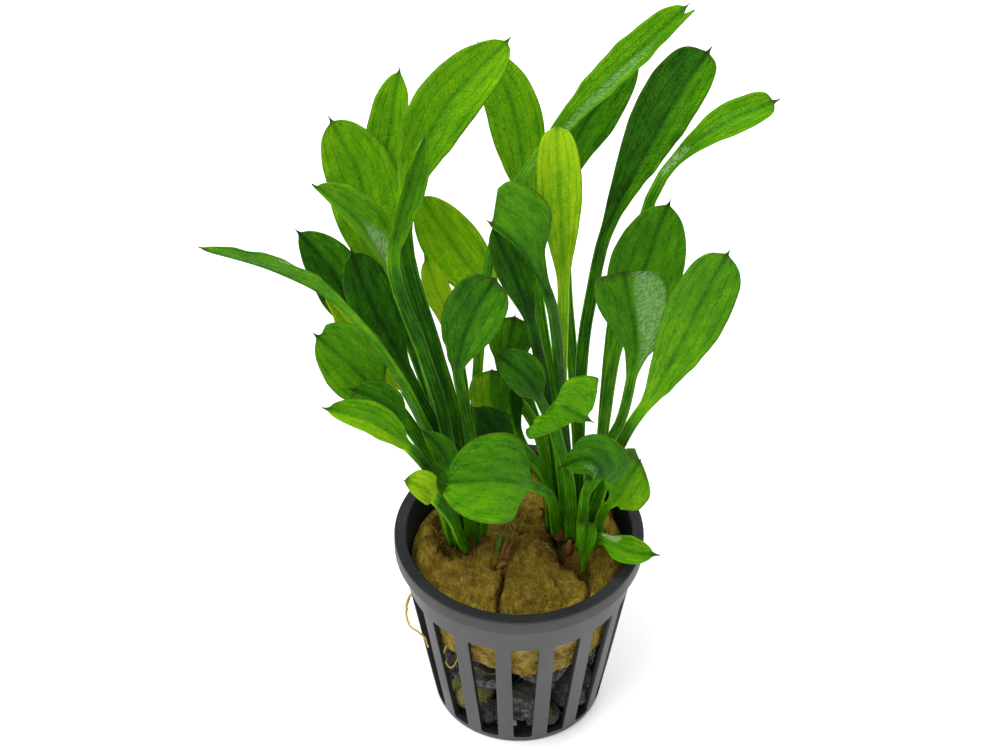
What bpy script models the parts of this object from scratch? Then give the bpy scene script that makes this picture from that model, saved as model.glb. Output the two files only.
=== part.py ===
"""Potted Amazon sword plant.

A slotted net cup holds lava stones and a plug of mineral wool. Two crowns sit in the
wool, and each carries a rosette of grown leaves: a petiole that widens into a blade.
Metres, +Z up. The origin is under the middle of the cup's floor.
"""
import math
from collections import namedtuple

import bmesh
import bpy
from mathutils import Vector

MM = 0.001
GAP = 0.3                    # mm, left between pieces that touch

# Net cup, in mm.
CUP_HEIGHT = 50.0
LIP_RADIUS = 28.0
LIP_WIDTH = 2.7
COLLAR_HEIGHT = 4.0
COLLAR_STEP = 0.7            # the collar stands this far proud of the wall below it
BASE_RADIUS = 19.4
WALL = 1.2
FLOOR = 1.2
CUP_STEPS = 48               # segments round the cup
SLOTS = 16
SLOT_TURN = 2.9              # degrees that the front slot sits right of the front
SLOT_TOP = 38.0              # height where the slots end, under the solid band
SLOT_FOOT = 1.8              # height where they start
RIB = 3.6                    # width of the bars between the slots
FLOOR_RING = 15.6            # inner radius of the floor's outer ring
FLOOR_HUB = 6.5              # radius of the disc in the middle of the floor
SPOKES = 8
SPOKE = 2.2

# Mineral wool plug, in mm.
WOOL_TOP = 46.0
WOOL_BASE = 25.0
WOOL_CLEAR = 0.8             # from the plug to the cup's inner wall
WOOL_STEPS = 24

# Crowns: where each rosette sits, in mm.
CROWNS = {"left": (-12.2, 2.6), "right": (12.6, 5.4)}
CROWN_RADIUS = 6.6
CROWN_HEIGHT = 1.4
CROWN_STEPS = 20

# Leaves, in mm.
PETIOLE_WIDTH = 1.8
PETIOLE_DEPTH = 1.4
BLADE_DEPTH = 0.8
STEM_STEPS = 6               # stations along a petiole
BLADE_STEPS = 9              # and along its blade
CURVE_STEPS = 12             # points between two given points of a smooth line
LEAST_STEM = 4.0             # a petiole is never shorter than this
TIP_HALF_WIDTH = 0.25
BLADE_SWELL = 0.72           # moves a blade's widest place towards its tip
BLADE_FULLNESS = 0.8         # below 1, a blade's outline is fuller than a sine
PETIOLE_FROM = 0.4           # share of the blade, from its tip, where the petiole runs in
FLATTENS_OVER = 0.3          # share of the blade over which the petiole flattens into it

# One row for each leaf. The foot is on the crown, and the path runs from the petiole's
# middle to the tip; blade is the blade's length, width its widest, face the direction
# (turn about Z, rise) that the blade's upper side looks in, and fold how far each half
# is raised from flat, in degrees.
Leaf = namedtuple("Leaf", "name foot path blade width face fold")
LEAVES = (
    # left crown
    Leaf("leaf_left_tall", (-10.8, 1.7),
         ((-14, 2, 82), (-18, 4, 101), (-24, 8, 131), (-17, 12, 157), (-2, 16, 175)),
         46, 14.5, (-80, 30), 12),
    Leaf("leaf_left_back", (-14.4, 8.0),
         ((-20.5, 13, 92), (-28, 24, 128), (-27, 29, 143), (-25, 32, 154)),
         38, 10, (-110, 20), 15),
    Leaf("leaf_left_outer", (-13.2, 5.9),
         ((-18, 8, 78), (-24.5, 13, 100), (-31, 18, 122), (-34, 22, 135), (-40, 25, 148)),
         46, 16, (-80, 35), 10),
    Leaf("leaf_left_folded", (-14.4, 3.8),
         ((-16, 4, 72), (-20, 5, 95), (-26, 4, 121), (-33, 2, 138), (-42, -1, 151)),
         40, 11, (-40, 60), 45),
    Leaf("leaf_left_slim", (-12.0, -0.4),
         ((-16, -3, 85), (-20, -5, 107), (-26, -6, 133), (-23, -5, 152), (-19, -5, 167)),
         36, 7, (-60, 20), 35),
    Leaf("leaf_left_wedge", (-12.0, 8.0),
         ((-12, 11, 78), (-15, 14, 100), (-17.5, 16, 107), (-20.5, 18, 116)),
         24, 6, (-90, 30), 10),
    Leaf("leaf_left_dark_high", (-15.6, 5.9),
         ((-20, 5, 75), (-28.5, 7, 96), (-37, 9, 113), (-41, 10, 121), (-47, 11, 129)),
         36, 12, (-80, 45), 15),
    Leaf("leaf_left_dark", (-13.2, 1.7),
         ((-16, 0, 75), (-21, -1, 91), (-26, -2, 106), (-31, -2, 120), (-35, -1, 134)),
         38, 11, (-70, 35), 12),
    Leaf("leaf_left_reaching", (-15.6, 1.7),
         ((-18, -4, 77), (-25, -10, 106), (-36, -14, 130), (-48, -16, 141), (-64, -17, 148)),
         46, 7, (90, 62), 25),
    Leaf("leaf_left_lime", (-16.8, 3.8),
         ((-19, 2, 75), (-24, 1, 94), (-33, 1, 106), (-41, 1, 120)),
         26, 5, (-90, 30), 10),
    Leaf("leaf_left_oval", (-18.0, 1.7),
         ((-20, -2, 75), (-25, -6, 92), (-31, -8, 102), (-37, -9, 111), (-43, -9, 118)),
         26, 13, (-80, 40), 8),
    Leaf("leaf_left_small_dark", (-16.8, -0.4),
         ((-19, -5, 74), (-23, -9.5, 90), (-29, -12, 101), (-36, -13, 106)),
         18, 8, (-80, 50), 15),
    Leaf("leaf_left_long", (-14.4, -0.4),
         ((-16, -8, 69), (-23, -16, 91), (-31, -20, 103), (-41, -21, 108)),
         26, 8, (-80, 60), 20),
    Leaf("leaf_left_flared", (-9.6, -0.4),
         ((-12, -6, 66), (-15, -9, 79), (-17, -11, 87), (-21, -12, 93)),
         18, 6, (-80, 35), 20),
    Leaf("leaf_left_tiny", (-12.0, -2.5),
         ((-13, -6, 54), (-15, -13, 68), (-20, -18, 81), (-25, -19, 85)),
         11, 6, (-85, 60), 5),
    Leaf("leaf_middle_spoon", (-8.4, 1.7),
         ((-10, -1, 75), (-12, -4, 93), (-13, -8, 108), (-10, -10, 123), (-5, -10, 134)),
         34, 13, (-95, 35), 10),
    Leaf("leaf_middle_lime", (-7.2, 3.8),
         ((-6, 2, 70), (-5, 2, 79), (-6, 3, 88), (-6, 3, 97)),
         20, 8, (-90, 30), 8),
    Leaf("leaf_top_long", (-10.8, 5.9),
         ((-9, 8, 94), (-6, 13, 121), (-1, 17, 135), (7.5, 20, 147), (18, 24, 158), (33, 29, 172)),
         48, 8, (-120, 45), 20),
    # right crown
    Leaf("leaf_inner_lime", (10.8, 11.0),
         ((3, 13, 74), (-3, 17, 92), (-8, 21, 104), (-15, 25, 114), (-22, 28, 125)),
         34, 13, (-90, 30), 8),
    Leaf("leaf_back_tall", (12.0, 8.9),
         ((9, 14, 68), (4, 24, 99), (1, 32, 127), (-2, 37, 143), (-9, 41, 155)),
         42, 12, (-95, 25), 8),
    Leaf("leaf_top_behind", (14.4, 8.9),
         ((12, 15, 83), (10, 23, 106), (10, 30, 130), (16.5, 35, 143), (25, 39, 154)),
         38, 11, (-90, 25), 12),
    Leaf("leaf_right_tall", (13.2, 6.8),
         ((13.5, 11, 90), (15.5, 14, 109), (18.5, 17, 124), (26, 20, 142), (33, 23, 156),
          (39, 26, 165)),
         52, 14, (-85, 35), 10),
    Leaf("leaf_right_spoon", (18.0, 6.8),
         ((20, 10, 105), (24.5, 12, 124), (29, 15, 139), (39, 17, 150), (53, 19, 157)),
         30, 7.5, (-95, 55), 10),
    Leaf("leaf_right_back", (16.8, 4.7),
         ((20, 5, 96), (23.5, 6, 108), (27, 8, 125), (31, 10, 138)),
         38, 16, (-90, 30), 8),
    Leaf("leaf_right_sheen", (14.4, 4.7),
         ((18, 0, 73), (22, -2, 87), (24, -3, 104), (24, -3, 113), (21, -3, 130)),
         32, 15, (-90, 25), 25),
    Leaf("leaf_right_large", (15.6, 2.6),
         ((19, -2, 69), (23, -9, 90), (27.5, -14, 105), (32.5, -16, 121), (37, -18, 137),
          (41, -19, 149)),
         56, 13, (-95, 35), 8),
    Leaf("leaf_centre_lime", (10.8, 6.8),
         ((9, 4, 90), (9, 3, 119), (8, 3, 143), (7, 4, 163)),
         46, 9.5, (-90, 10), 10),
    Leaf("leaf_centre_curled", (12.0, 4.7),
         ((10.5, 1, 70), (9, -1, 90), (7.5, -2, 111), (6, -3.5, 122), (2.5, -5, 132),
          (-1.2, -6.5, 140.5), (-7, -7.5, 147)),
         34, 14, (-70, 30), 20),
    Leaf("leaf_centre_under", (9.6, 4.7),
         ((7, 1, 80), (4.5, 0, 100), (1, 0, 118), (-3, 0, 131), (-6, 0, 140)),
         30, 8, (-70, 20), 15),
    Leaf("leaf_centre_back", (8.4, 6.8),
         ((4, 7, 74), (-3, 7, 89), (-2.3, 7, 99), (-1, 7, 109)),
         20, 10, (-90, 30), 10),
    Leaf("leaf_centre_narrow", (8.4, 8.9),
         ((7, 9, 54), (1, 6, 70), (-1, 5, 78), (-2, 5, 86), (-1, 5, 94)),
         20, 4.5, (-90, 30), 10),
    Leaf("leaf_centre_wide", (10.8, 2.6),
         ((8.5, -1.5, 76), (6, -4, 89), (3, -6, 99), (0, -7, 105), (-5, -8, 111)),
         19, 9, (-80, 45), 15),
    Leaf("leaf_centre_lobed", (12.0, 0.5),
         ((11, -4, 68), (8.5, -8, 84), (7.5, -10.5, 96), (9, -11.5, 99.5), (15.5, -13.5, 96.5)),
         9, 17, (-100, 40), 12),
    Leaf("leaf_low_dark", (7.2, 4.7),
         ((6, 1, 65), (1, -2, 77), (-5, -5, 86), (-10, -8, 96)),
         19, 9, (-85, 45), 12),
    Leaf("leaf_low_round", (8.4, 2.6),
         ((7, -4, 64), (3, -12, 76), (-5, -18, 84), (-17, -21, 86)),
         24, 20, (-85, 50), 6),
    Leaf("leaf_low_folded", (14.4, -1.6),
         ((14, -4, 58), (14.5, -9.5, 72), (17, -15, 84), (14, -16, 88.5), (8, -16, 85.5)),
         17, 9, (-80, 50), 20),
    Leaf("leaf_low_pale", (17.4, 1.6),
         ((18.5, -4, 60), (21, -8, 68), (23.5, -9.5, 76), (26, -9.5, 82)),
         19, 12, (-80, 35), 10),
    Leaf("leaf_low_spoon", (14.6, -7.0),
         ((14.6, -7.8, 51), (14.8, -8, 56), (15, -7.6, 61)),
         8, 5, (-90, 30), 10),
    Leaf("leaf_over_lip", (17.4, -1.6),
         ((18, -4, 51.5), (24, -9, 52.6), (31, -11, 53.5)),
         14, 7, (-90, 60), 10),
)


def clear_scene():
    for obj in list(bpy.data.objects):
        bpy.data.objects.remove(obj, do_unlink=True)


def finish_colour(name, colour, roughness, metallic=0.0):
    material = bpy.data.materials.new(name)
    material.use_nodes = True
    shader = material.node_tree.nodes["Principled BSDF"]
    shader.inputs["Base Color"].default_value = (*colour, 1.0)
    shader.inputs["Roughness"].default_value = roughness
    shader.inputs["Metallic"].default_value = metallic
    return material


def new_object(name, mesh, material, smooth=True):
    obj = bpy.data.objects.new(name, mesh)
    bpy.context.scene.collection.objects.link(obj)
    mesh.materials.append(material)
    if smooth:
        mesh.shade_smooth()
        mesh.set_sharp_from_angle(angle=math.radians(40))
    return obj


def mesh_facing_out(name, points, faces):
    """A mesh from points in mm, with its faces turned to look outwards."""
    mesh = bpy.data.meshes.new(name)
    mesh.from_pydata([tuple(c * MM for c in p) for p in points], [], faces)
    work = bmesh.new()
    work.from_mesh(mesh)
    bmesh.ops.recalc_face_normals(work, faces=work.faces)
    work.to_mesh(mesh)
    work.free()
    return mesh


def mesh_from_rings(name, rings):
    """Skin a list of rings of points (mm), capped at both ends."""
    size = len(rings[0])
    last = (len(rings) - 1) * size
    faces = []
    for here in range(0, last, size):
        for j in range(size):
            k = (j + 1) % size
            faces.append((here + j, here + k, here + size + k, here + size + j))
    faces.append(tuple(range(size))[::-1])
    faces.append(tuple(last + j for j in range(size)))
    return mesh_facing_out(name, [p for ring in rings for p in ring], faces)


def wall_radius(z):
    """Outer radius of the tapered wall at a height."""
    top = LIP_RADIUS - COLLAR_STEP
    return BASE_RADIUS + (top - BASE_RADIUS) * z / CUP_HEIGHT


def polar(radius, turn, z):
    return (radius * math.cos(turn), radius * math.sin(turn), z)


def hide_tool(obj):
    obj.hide_render = True
    obj.display_type = "WIRE"


def cut(target, cutter):
    hide_tool(cutter)
    step = target.modifiers.new("cut", "BOOLEAN")
    step.operation = "DIFFERENCE"
    step.solver = "EXACT"
    step.object = cutter


def join_prisms(name, prisms):
    """One cutter mesh from separate prisms, each a pair of outlines (mm)."""
    points = []
    faces = []
    for low, high in prisms:
        first = len(points)
        size = len(low)
        points += [*low, *high]
        faces.append(tuple(first + j for j in range(size))[::-1])
        faces.append(tuple(first + size + j for j in range(size)))
        for j in range(size):
            k = (j + 1) % size
            faces.append((first + j, first + k, first + size + k, first + size + j))
    return mesh_facing_out(name, points, faces)


def slot_prism(index):
    """A wedge through the wall between two bars, narrower at its foot."""
    turn = math.radians(index * 360 / SLOTS - 90 + SLOT_TURN)
    outward = Vector((math.cos(turn), math.sin(turn), 0))
    across = Vector((-math.sin(turn), math.cos(turn), 0))
    ends = []
    for z in (SLOT_FOOT, SLOT_TOP):
        half = (wall_radius(z) * 2 * math.pi / SLOTS - RIB) / 2
        near = wall_radius(z) - 3 * WALL
        far = wall_radius(z) + 2 * WALL
        corners = [outward * r + across * a
                   for r, a in ((near, -half), (far, -half), (far, half), (near, half))]
        ends.append([(c.x, c.y, z) for c in corners])
    return ends


def floor_prism(index):
    """An opening in the floor between two spokes."""
    middle = math.radians((index + 0.5) * 360 / SPOKES - 90 + SLOT_TURN)
    outline = []
    for radius in (FLOOR_HUB, FLOOR_RING):
        reach = math.pi / SPOKES - math.asin(SPOKE / 2 / radius)
        turns = [middle - reach, middle, middle + reach]
        outline += [(radius, t) for t in (turns if radius == FLOOR_HUB else turns[::-1])]
    return [[polar(r, t, z) for r, t in outline] for z in (-FLOOR, 2 * FLOOR)]


def build_cup(material):
    lip_inner = LIP_RADIUS - LIP_WIDTH
    under_collar = CUP_HEIGHT - COLLAR_HEIGHT
    profile = (
        (0.0, 0.0), (BASE_RADIUS - 0.5, 0.0), (BASE_RADIUS, 0.5),
        (wall_radius(under_collar), under_collar), (LIP_RADIUS, under_collar + 0.3),
        (LIP_RADIUS, CUP_HEIGHT - 0.4), (LIP_RADIUS - 0.4, CUP_HEIGHT),
        (lip_inner, CUP_HEIGHT), (lip_inner, CUP_HEIGHT - 1.2),
        (wall_radius(under_collar) - WALL, under_collar - 1.0),
        (wall_radius(FLOOR) - WALL, FLOOR), (0.0, FLOOR),
    )
    work = bmesh.new()
    line = [work.verts.new((r * MM, 0.0, z * MM)) for r, z in profile]
    edges = [work.edges.new(pair) for pair in zip(line, line[1:])]
    bmesh.ops.spin(work, geom=line + edges, axis=(0, 0, 1), cent=(0, 0, 0),
                   angle=2 * math.pi, steps=CUP_STEPS, use_merge=True)
    bmesh.ops.remove_doubles(work, verts=work.verts, dist=1e-6)
    bmesh.ops.recalc_face_normals(work, faces=work.faces)
    mesh = bpy.data.meshes.new("net_cup")
    work.to_mesh(mesh)
    work.free()
    cup = new_object("net_cup", mesh, material)
    slots = join_prisms("slot_cutter", [slot_prism(i) for i in range(SLOTS)])
    cut(cup, new_object("slot_cutter", slots, material, smooth=False))
    holes = join_prisms("floor_cutter", [floor_prism(i) for i in range(SPOKES)])
    cut(cup, new_object("floor_cutter", holes, material, smooth=False))
    return cup


def build_wool(material):
    """The plug: a lumpy block cast to the cup's taper, with an uneven lower edge."""
    rings = []
    for level in (0.0, 0.12, 0.4, 0.7, 0.9, 1.0):
        ring = []
        for i in range(WOOL_STEPS):
            turn = i * 2 * math.pi / WOOL_STEPS
            base = WOOL_BASE + 1.6 * math.sin(3 * turn + 1.0) + 0.9 * math.sin(5 * turn)
            z = base + (WOOL_TOP - 1.2 - base) * level
            radius = wall_radius(z) - WALL - WOOL_CLEAR
            radius -= 0.25 * (1 + math.sin(4 * turn + 6 * level))
            if level == 0.0:
                radius -= 1.4
            ring.append(polar(radius, turn, z))
        rings.append(ring)
    edge = rings[-1]
    for share, z in ((0.93, WOOL_TOP - 0.4), (0.8, WOOL_TOP), (0.3, WOOL_TOP)):
        rings.append([(x * share, y * share, z) for x, y, _ in edge])
    inner = [(x * 0.45, y * 0.45, WOOL_BASE - 0.5) for x, y, _ in rings[0]]
    rings.insert(0, inner)
    return new_object("wool_plug", mesh_from_rings("wool_plug", rings), material)


# Stones: name, middle (mm), radii (mm) and turn (degrees).
STONES = (
    ("stone_front", (1.0, -12.4, 6.4), (5.4, 4.2, 4.6), 10),
    ("stone_front_right", (11.0, -8.2, 6.2), (4.6, 5.2, 4.4), 40),
    ("stone_right", (12.9, 2.6, 6.6), (4.2, 5.0, 4.8), 80),
    ("stone_back_right", (6.8, 11.4, 6.3), (5.4, 4.6, 4.4), 20),
    ("stone_back_left", (-5.6, 12.0, 6.5), (5.2, 4.4, 4.6), 160),
    ("stone_left", (-13.0, 3.4, 6.2), (4.2, 4.8, 4.2), 100),
    ("stone_front_left", (-6.6, -11.4, 15.0), (4.8, 4.0, 3.4), 15),
    ("stone_middle", (0.2, 0.4, 6.0), (5.6, 5.2, 4.2), 60),
    ("stone_upper_front", (5.6, -9.0, 16.0), (6.0, 5.0, 4.4), 25),
    ("stone_upper_right", (10.8, 3.8, 16.4), (5.4, 5.2, 4.2), 75),
    ("stone_upper_back", (-1.0, 10.4, 16.2), (6.2, 4.8, 4.4), 5),
    ("stone_upper_left", (-11.4, 1.6, 15.6), (5.2, 4.6, 4.2), 115),
    ("pebble_olive", (-10.2, -8.4, 6.4), (4.6, 5.0, 4.4), 130),
)


def build_stone(name, middle, radii, turn, material):
    """An uneven ellipsoid, turned about the upright."""
    work = bmesh.new()
    bmesh.ops.create_icosphere(work, subdivisions=2, radius=1.0)
    spin = math.radians(turn)
    phase = sum(middle)
    for vert in work.verts:
        x, y, z = vert.co
        lump = 0.91 - 0.05 * math.sin(3.1 * x + phase) - 0.04 * math.sin(4.3 * y - phase)
        x, y, z = x * radii[0] * lump, y * radii[1] * lump, z * radii[2] * lump
        vert.co = (
            (middle[0] + x * math.cos(spin) - y * math.sin(spin)) * MM,
            (middle[1] + x * math.sin(spin) + y * math.cos(spin)) * MM,
            (middle[2] + z) * MM,
        )
    mesh = bpy.data.meshes.new(name)
    work.to_mesh(mesh)
    work.free()
    return new_object(name, mesh, material)


def build_crown(side, material):
    """The short rootstock that a rosette grows from, seen as a low mound."""
    x, y = CROWNS[side]
    low = WOOL_TOP + GAP
    rings = []
    for share, rise in ((0.9, 0.0), (1.0, 0.4), (1.0, CROWN_HEIGHT - 0.4), (0.94, CROWN_HEIGHT)):
        turns = [i * 2 * math.pi / CROWN_STEPS for i in range(CROWN_STEPS)]
        ring = [polar(CROWN_RADIUS * share, turn, low + rise) for turn in turns]
        rings.append([(x + px, y + py, z) for px, py, z in ring])
    return new_object("crown_" + side, mesh_from_rings("crown_" + side, rings), material)


def smooth_line(points):
    """Points on a smooth curve through the given ones, and how far along each one is."""
    ends = [points[0] * 2 - points[1], *points, points[-1] * 2 - points[-2]]
    fine = []
    for a, b, c, d in zip(ends, ends[1:], ends[2:], ends[3:]):
        for k in range(CURVE_STEPS):
            t = k / CURVE_STEPS
            fine.append(((b * 2) + (c - a) * t + (a * 2 - b * 5 + c * 4 - d) * t * t
                         + (b * 3 - a - c * 3 + d) * t ** 3) / 2)
    fine.append(points[-1])
    reach = [0.0]
    for a, b in zip(fine, fine[1:]):
        reach.append(reach[-1] + (b - a).length)
    return fine, reach


def foot_height(x, y):
    """Where a petiole starts: on its crown, or on the wool beside it."""
    for cx, cy in CROWNS.values():
        if math.hypot(x - cx, y - cy) < CROWN_RADIUS + PETIOLE_WIDTH:
            return WOOL_TOP + GAP + CROWN_HEIGHT + 2 * GAP
    return WOOL_TOP + 2 * GAP


def point_at(line, reach, distance):
    """The point that far along a smooth line."""
    for i in range(len(line) - 1):
        if distance <= reach[i + 1]:
            share = (distance - reach[i]) / max(reach[i + 1] - reach[i], 1e-9)
            return line[i].lerp(line[i + 1], share)
    return line[-1].copy()


def blade_half_width(leaf, from_tip):
    """Half the leaf's width at a distance from its tip: spike, oval blade, petiole."""
    share = min(from_tip / leaf.blade, 1.0)
    oval = 0.0
    if share < 1:
        oval = math.sin(math.pi * share ** BLADE_SWELL) ** BLADE_FULLNESS
    petiole = PETIOLE_WIDTH / 2 if share > PETIOLE_FROM else 0.0
    return max(leaf.width / 2 * oval, petiole, TIP_HALF_WIDTH)


def build_leaf(leaf, material):
    """One closed solid: a four-sided section swept from the foot to the tip."""
    path = [Vector((*leaf.foot, foot_height(*leaf.foot)))] + [Vector(p) for p in leaf.path]
    line, reach = smooth_line(path)
    length = reach[-1]
    blade = min(leaf.blade, length - LEAST_STEM)
    stations = [(length - blade) * i / STEM_STEPS for i in range(STEM_STEPS)]
    stations += [length - blade * (1 - i / BLADE_STEPS) for i in range(BLADE_STEPS + 1)]
    turn, rise = (math.radians(a) for a in leaf.face)
    look = Vector((math.cos(rise) * math.cos(turn), math.cos(rise) * math.sin(turn), math.sin(rise)))
    rings = []
    for s in stations:
        here = point_at(line, reach, s)
        ahead = point_at(line, reach, min(s + 0.5, length))
        behind = point_at(line, reach, max(s - 0.5, 0.0))
        along = (ahead - behind).normalized() if s > 0 else Vector((0, 0, 1))
        up = (look - along * look.dot(along)).normalized()
        side = along.cross(up)
        half = blade_half_width(leaf, length - s)
        in_blade = min(max((s - length + blade) / (FLATTENS_OVER * blade), 0.0), 1.0)
        depth = PETIOLE_DEPTH + (BLADE_DEPTH - PETIOLE_DEPTH) * in_blade
        lift = math.radians(leaf.fold) * in_blade
        out = side * half * math.cos(lift)
        raised = up * half * math.sin(lift)
        rings.append([here - out + raised, here + up * depth / 2, here + out + raised,
                      here - up * depth / 2])
    return new_object(leaf.name, mesh_from_rings(leaf.name, rings), material)


# Roots that hang out through the slots, in mm.
ROOT_RADIUS = 0.4
ROOT_STEPS = 16
ROOTS = {
    "root_outer": ((-23.4, -1.6, 31), (-24.2, -2.2, 31.5), (-25.2, -3.2, 30.5),
                   (-25.6, -4.8, 28), (-24.9, -6.8, 26), (-23, -8.4, 25.6),
                   (-21.4, -9.4, 24.6), (-20.6, -9.8, 22)),
}


def build_root(name, route, material):
    """A thin round strand along its route."""
    line, reach = smooth_line([Vector(p) for p in route])
    curve = bpy.data.curves.new(name, "CURVE")
    curve.dimensions = "3D"
    curve.bevel_depth = ROOT_RADIUS * MM
    curve.bevel_resolution = 0
    curve.use_fill_caps = True
    spline = curve.splines.new("POLY")
    spline.points.add(ROOT_STEPS - 1)
    for i in range(ROOT_STEPS):
        p = point_at(line, reach, reach[-1] * i / (ROOT_STEPS - 1)) * MM
        spline.points[i].co = (p.x, p.y, p.z, 1.0)
    obj = bpy.data.objects.new(name, curve)
    bpy.context.scene.collection.objects.link(obj)
    curve.materials.append(material)
    return obj


def main():
    clear_scene()
    build_cup(finish_colour("cup_plastic", (0.12, 0.12, 0.125), 0.5))
    build_wool(finish_colour("wool", (0.28, 0.18, 0.03), 0.95))
    for name, middle, radii, turn in STONES:
        shade = (0.16, 0.15, 0.03) if name == "pebble_olive" else (0.05, 0.05, 0.055)
        build_stone(name, middle, radii, turn, finish_colour(name, shade, 0.9))
    for side in CROWNS:
        build_crown(side, finish_colour("crown_" + side, (0.16, 0.07, 0.03), 0.7))
    for leaf in LEAVES:
        build_leaf(leaf, finish_colour(leaf.name, (0.09, 0.30, 0.01), 0.35))
    for name, route in ROOTS.items():
        build_root(name, route, finish_colour(name, (0.45, 0.33, 0.06), 0.6))


main()
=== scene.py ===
"""Looks of the potted Amazon sword: fine leaves, wool, cup, stones, lights and camera."""
import math

import bmesh
import bpy
import numpy as np
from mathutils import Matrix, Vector, noise


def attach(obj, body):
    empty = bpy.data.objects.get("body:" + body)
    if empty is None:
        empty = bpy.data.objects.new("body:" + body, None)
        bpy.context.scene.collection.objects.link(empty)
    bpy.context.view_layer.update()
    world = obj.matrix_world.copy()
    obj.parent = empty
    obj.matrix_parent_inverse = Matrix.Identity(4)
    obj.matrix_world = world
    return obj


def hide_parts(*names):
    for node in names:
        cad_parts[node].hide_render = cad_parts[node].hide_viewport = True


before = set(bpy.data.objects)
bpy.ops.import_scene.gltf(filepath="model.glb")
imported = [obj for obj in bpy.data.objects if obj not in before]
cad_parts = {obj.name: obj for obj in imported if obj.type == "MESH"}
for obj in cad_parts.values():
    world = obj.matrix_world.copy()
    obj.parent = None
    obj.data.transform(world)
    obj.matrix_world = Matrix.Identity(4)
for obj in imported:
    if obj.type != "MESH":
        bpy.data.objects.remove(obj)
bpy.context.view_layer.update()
MM = 0.001

# Camera: looks down at the cup's mouth from the front through a long lens.
PITCH = math.radians(43.0)
DISTANCE = 672.0             # mm, from the camera to the level of the cup's mouth
MOUTH_RIGHT = 4.26           # mm that the mouth's middle lies right of the view's axis
MOUTH_BELOW = 34.8           # mm that it lies below the axis
LENS = 108.0

# Net cup, in mm: the same sizes as the frame's cup.
CUP_HEIGHT = 50.0
LIP_RADIUS = 28.0
LIP_WIDTH = 2.7
COLLAR_HEIGHT = 4.0
COLLAR_STEP = 0.7
BASE_RADIUS = 19.4
WALL = 1.2
FLOOR = 1.2
SLOTS = 16
SLOT_TURN = 2.9
SLOT_TOP = 38.0
SLOT_FOOT = 1.8
RIB = 3.6
FLOOR_RING = 15.6
FLOOR_HUB = 6.5
SPOKES = 8
SPOKE = 2.2

WOOL_TOP = 46.0
WOOL_BASE = 25.0

CROWNS = {"left": (-12.2, 2.6), "right": (12.6, 5.4)}
CROWN_RADIUS = 6.6
CROWN_HEIGHT = 1.4
GAP = 0.3                    # mm that the frame keeps between touching pieces

STEM_STEPS = 16
BLADE_STEPS = 84
ACROSS = 19                  # points across a leaf's upper side
SPIKE = 2.4                  # mm, length of the pointed tip
PETIOLE = 2.3                # mm, width of a petiole above its sheath
SHEATH = 3.1                 # mm, width of its foot
SHEATH_REACH = 16.0          # mm that the foot takes to narrow
LEAF_THICKNESS = 0.32        # mm, away from the midrib
BURIED = 2.5                 # mm that a petiole's foot is sunk in its crown or the wool
LEAST_STEM = 4.0             # mm, the shortest petiole
VEIN_STEP = 3.1              # mm between the quilted cross veins
FORK_AT = 0.915              # share of the blade at which a forked tip parts


def leaf(foot, path, blade, width, face, fold, **looks):
    """One leaf's row: its own values over the usual looks."""
    usual = dict(cup=8, wave=0.2, broad=0.42, rounding=0.6, taper=1.05, spike=0.9,
                 sides=(1.0, 1.0), sweep=(0.0, 0.0), fork=0.0, left=0.0, right=0.0, tip=0.0,
                 base=0.0, petiole=0.3, stem=PETIOLE, sheath=SHEATH, bloom=())
    return dict(usual, foot=foot, path=path, blade=blade, width=width, face=face, fold=fold, **looks)


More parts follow.
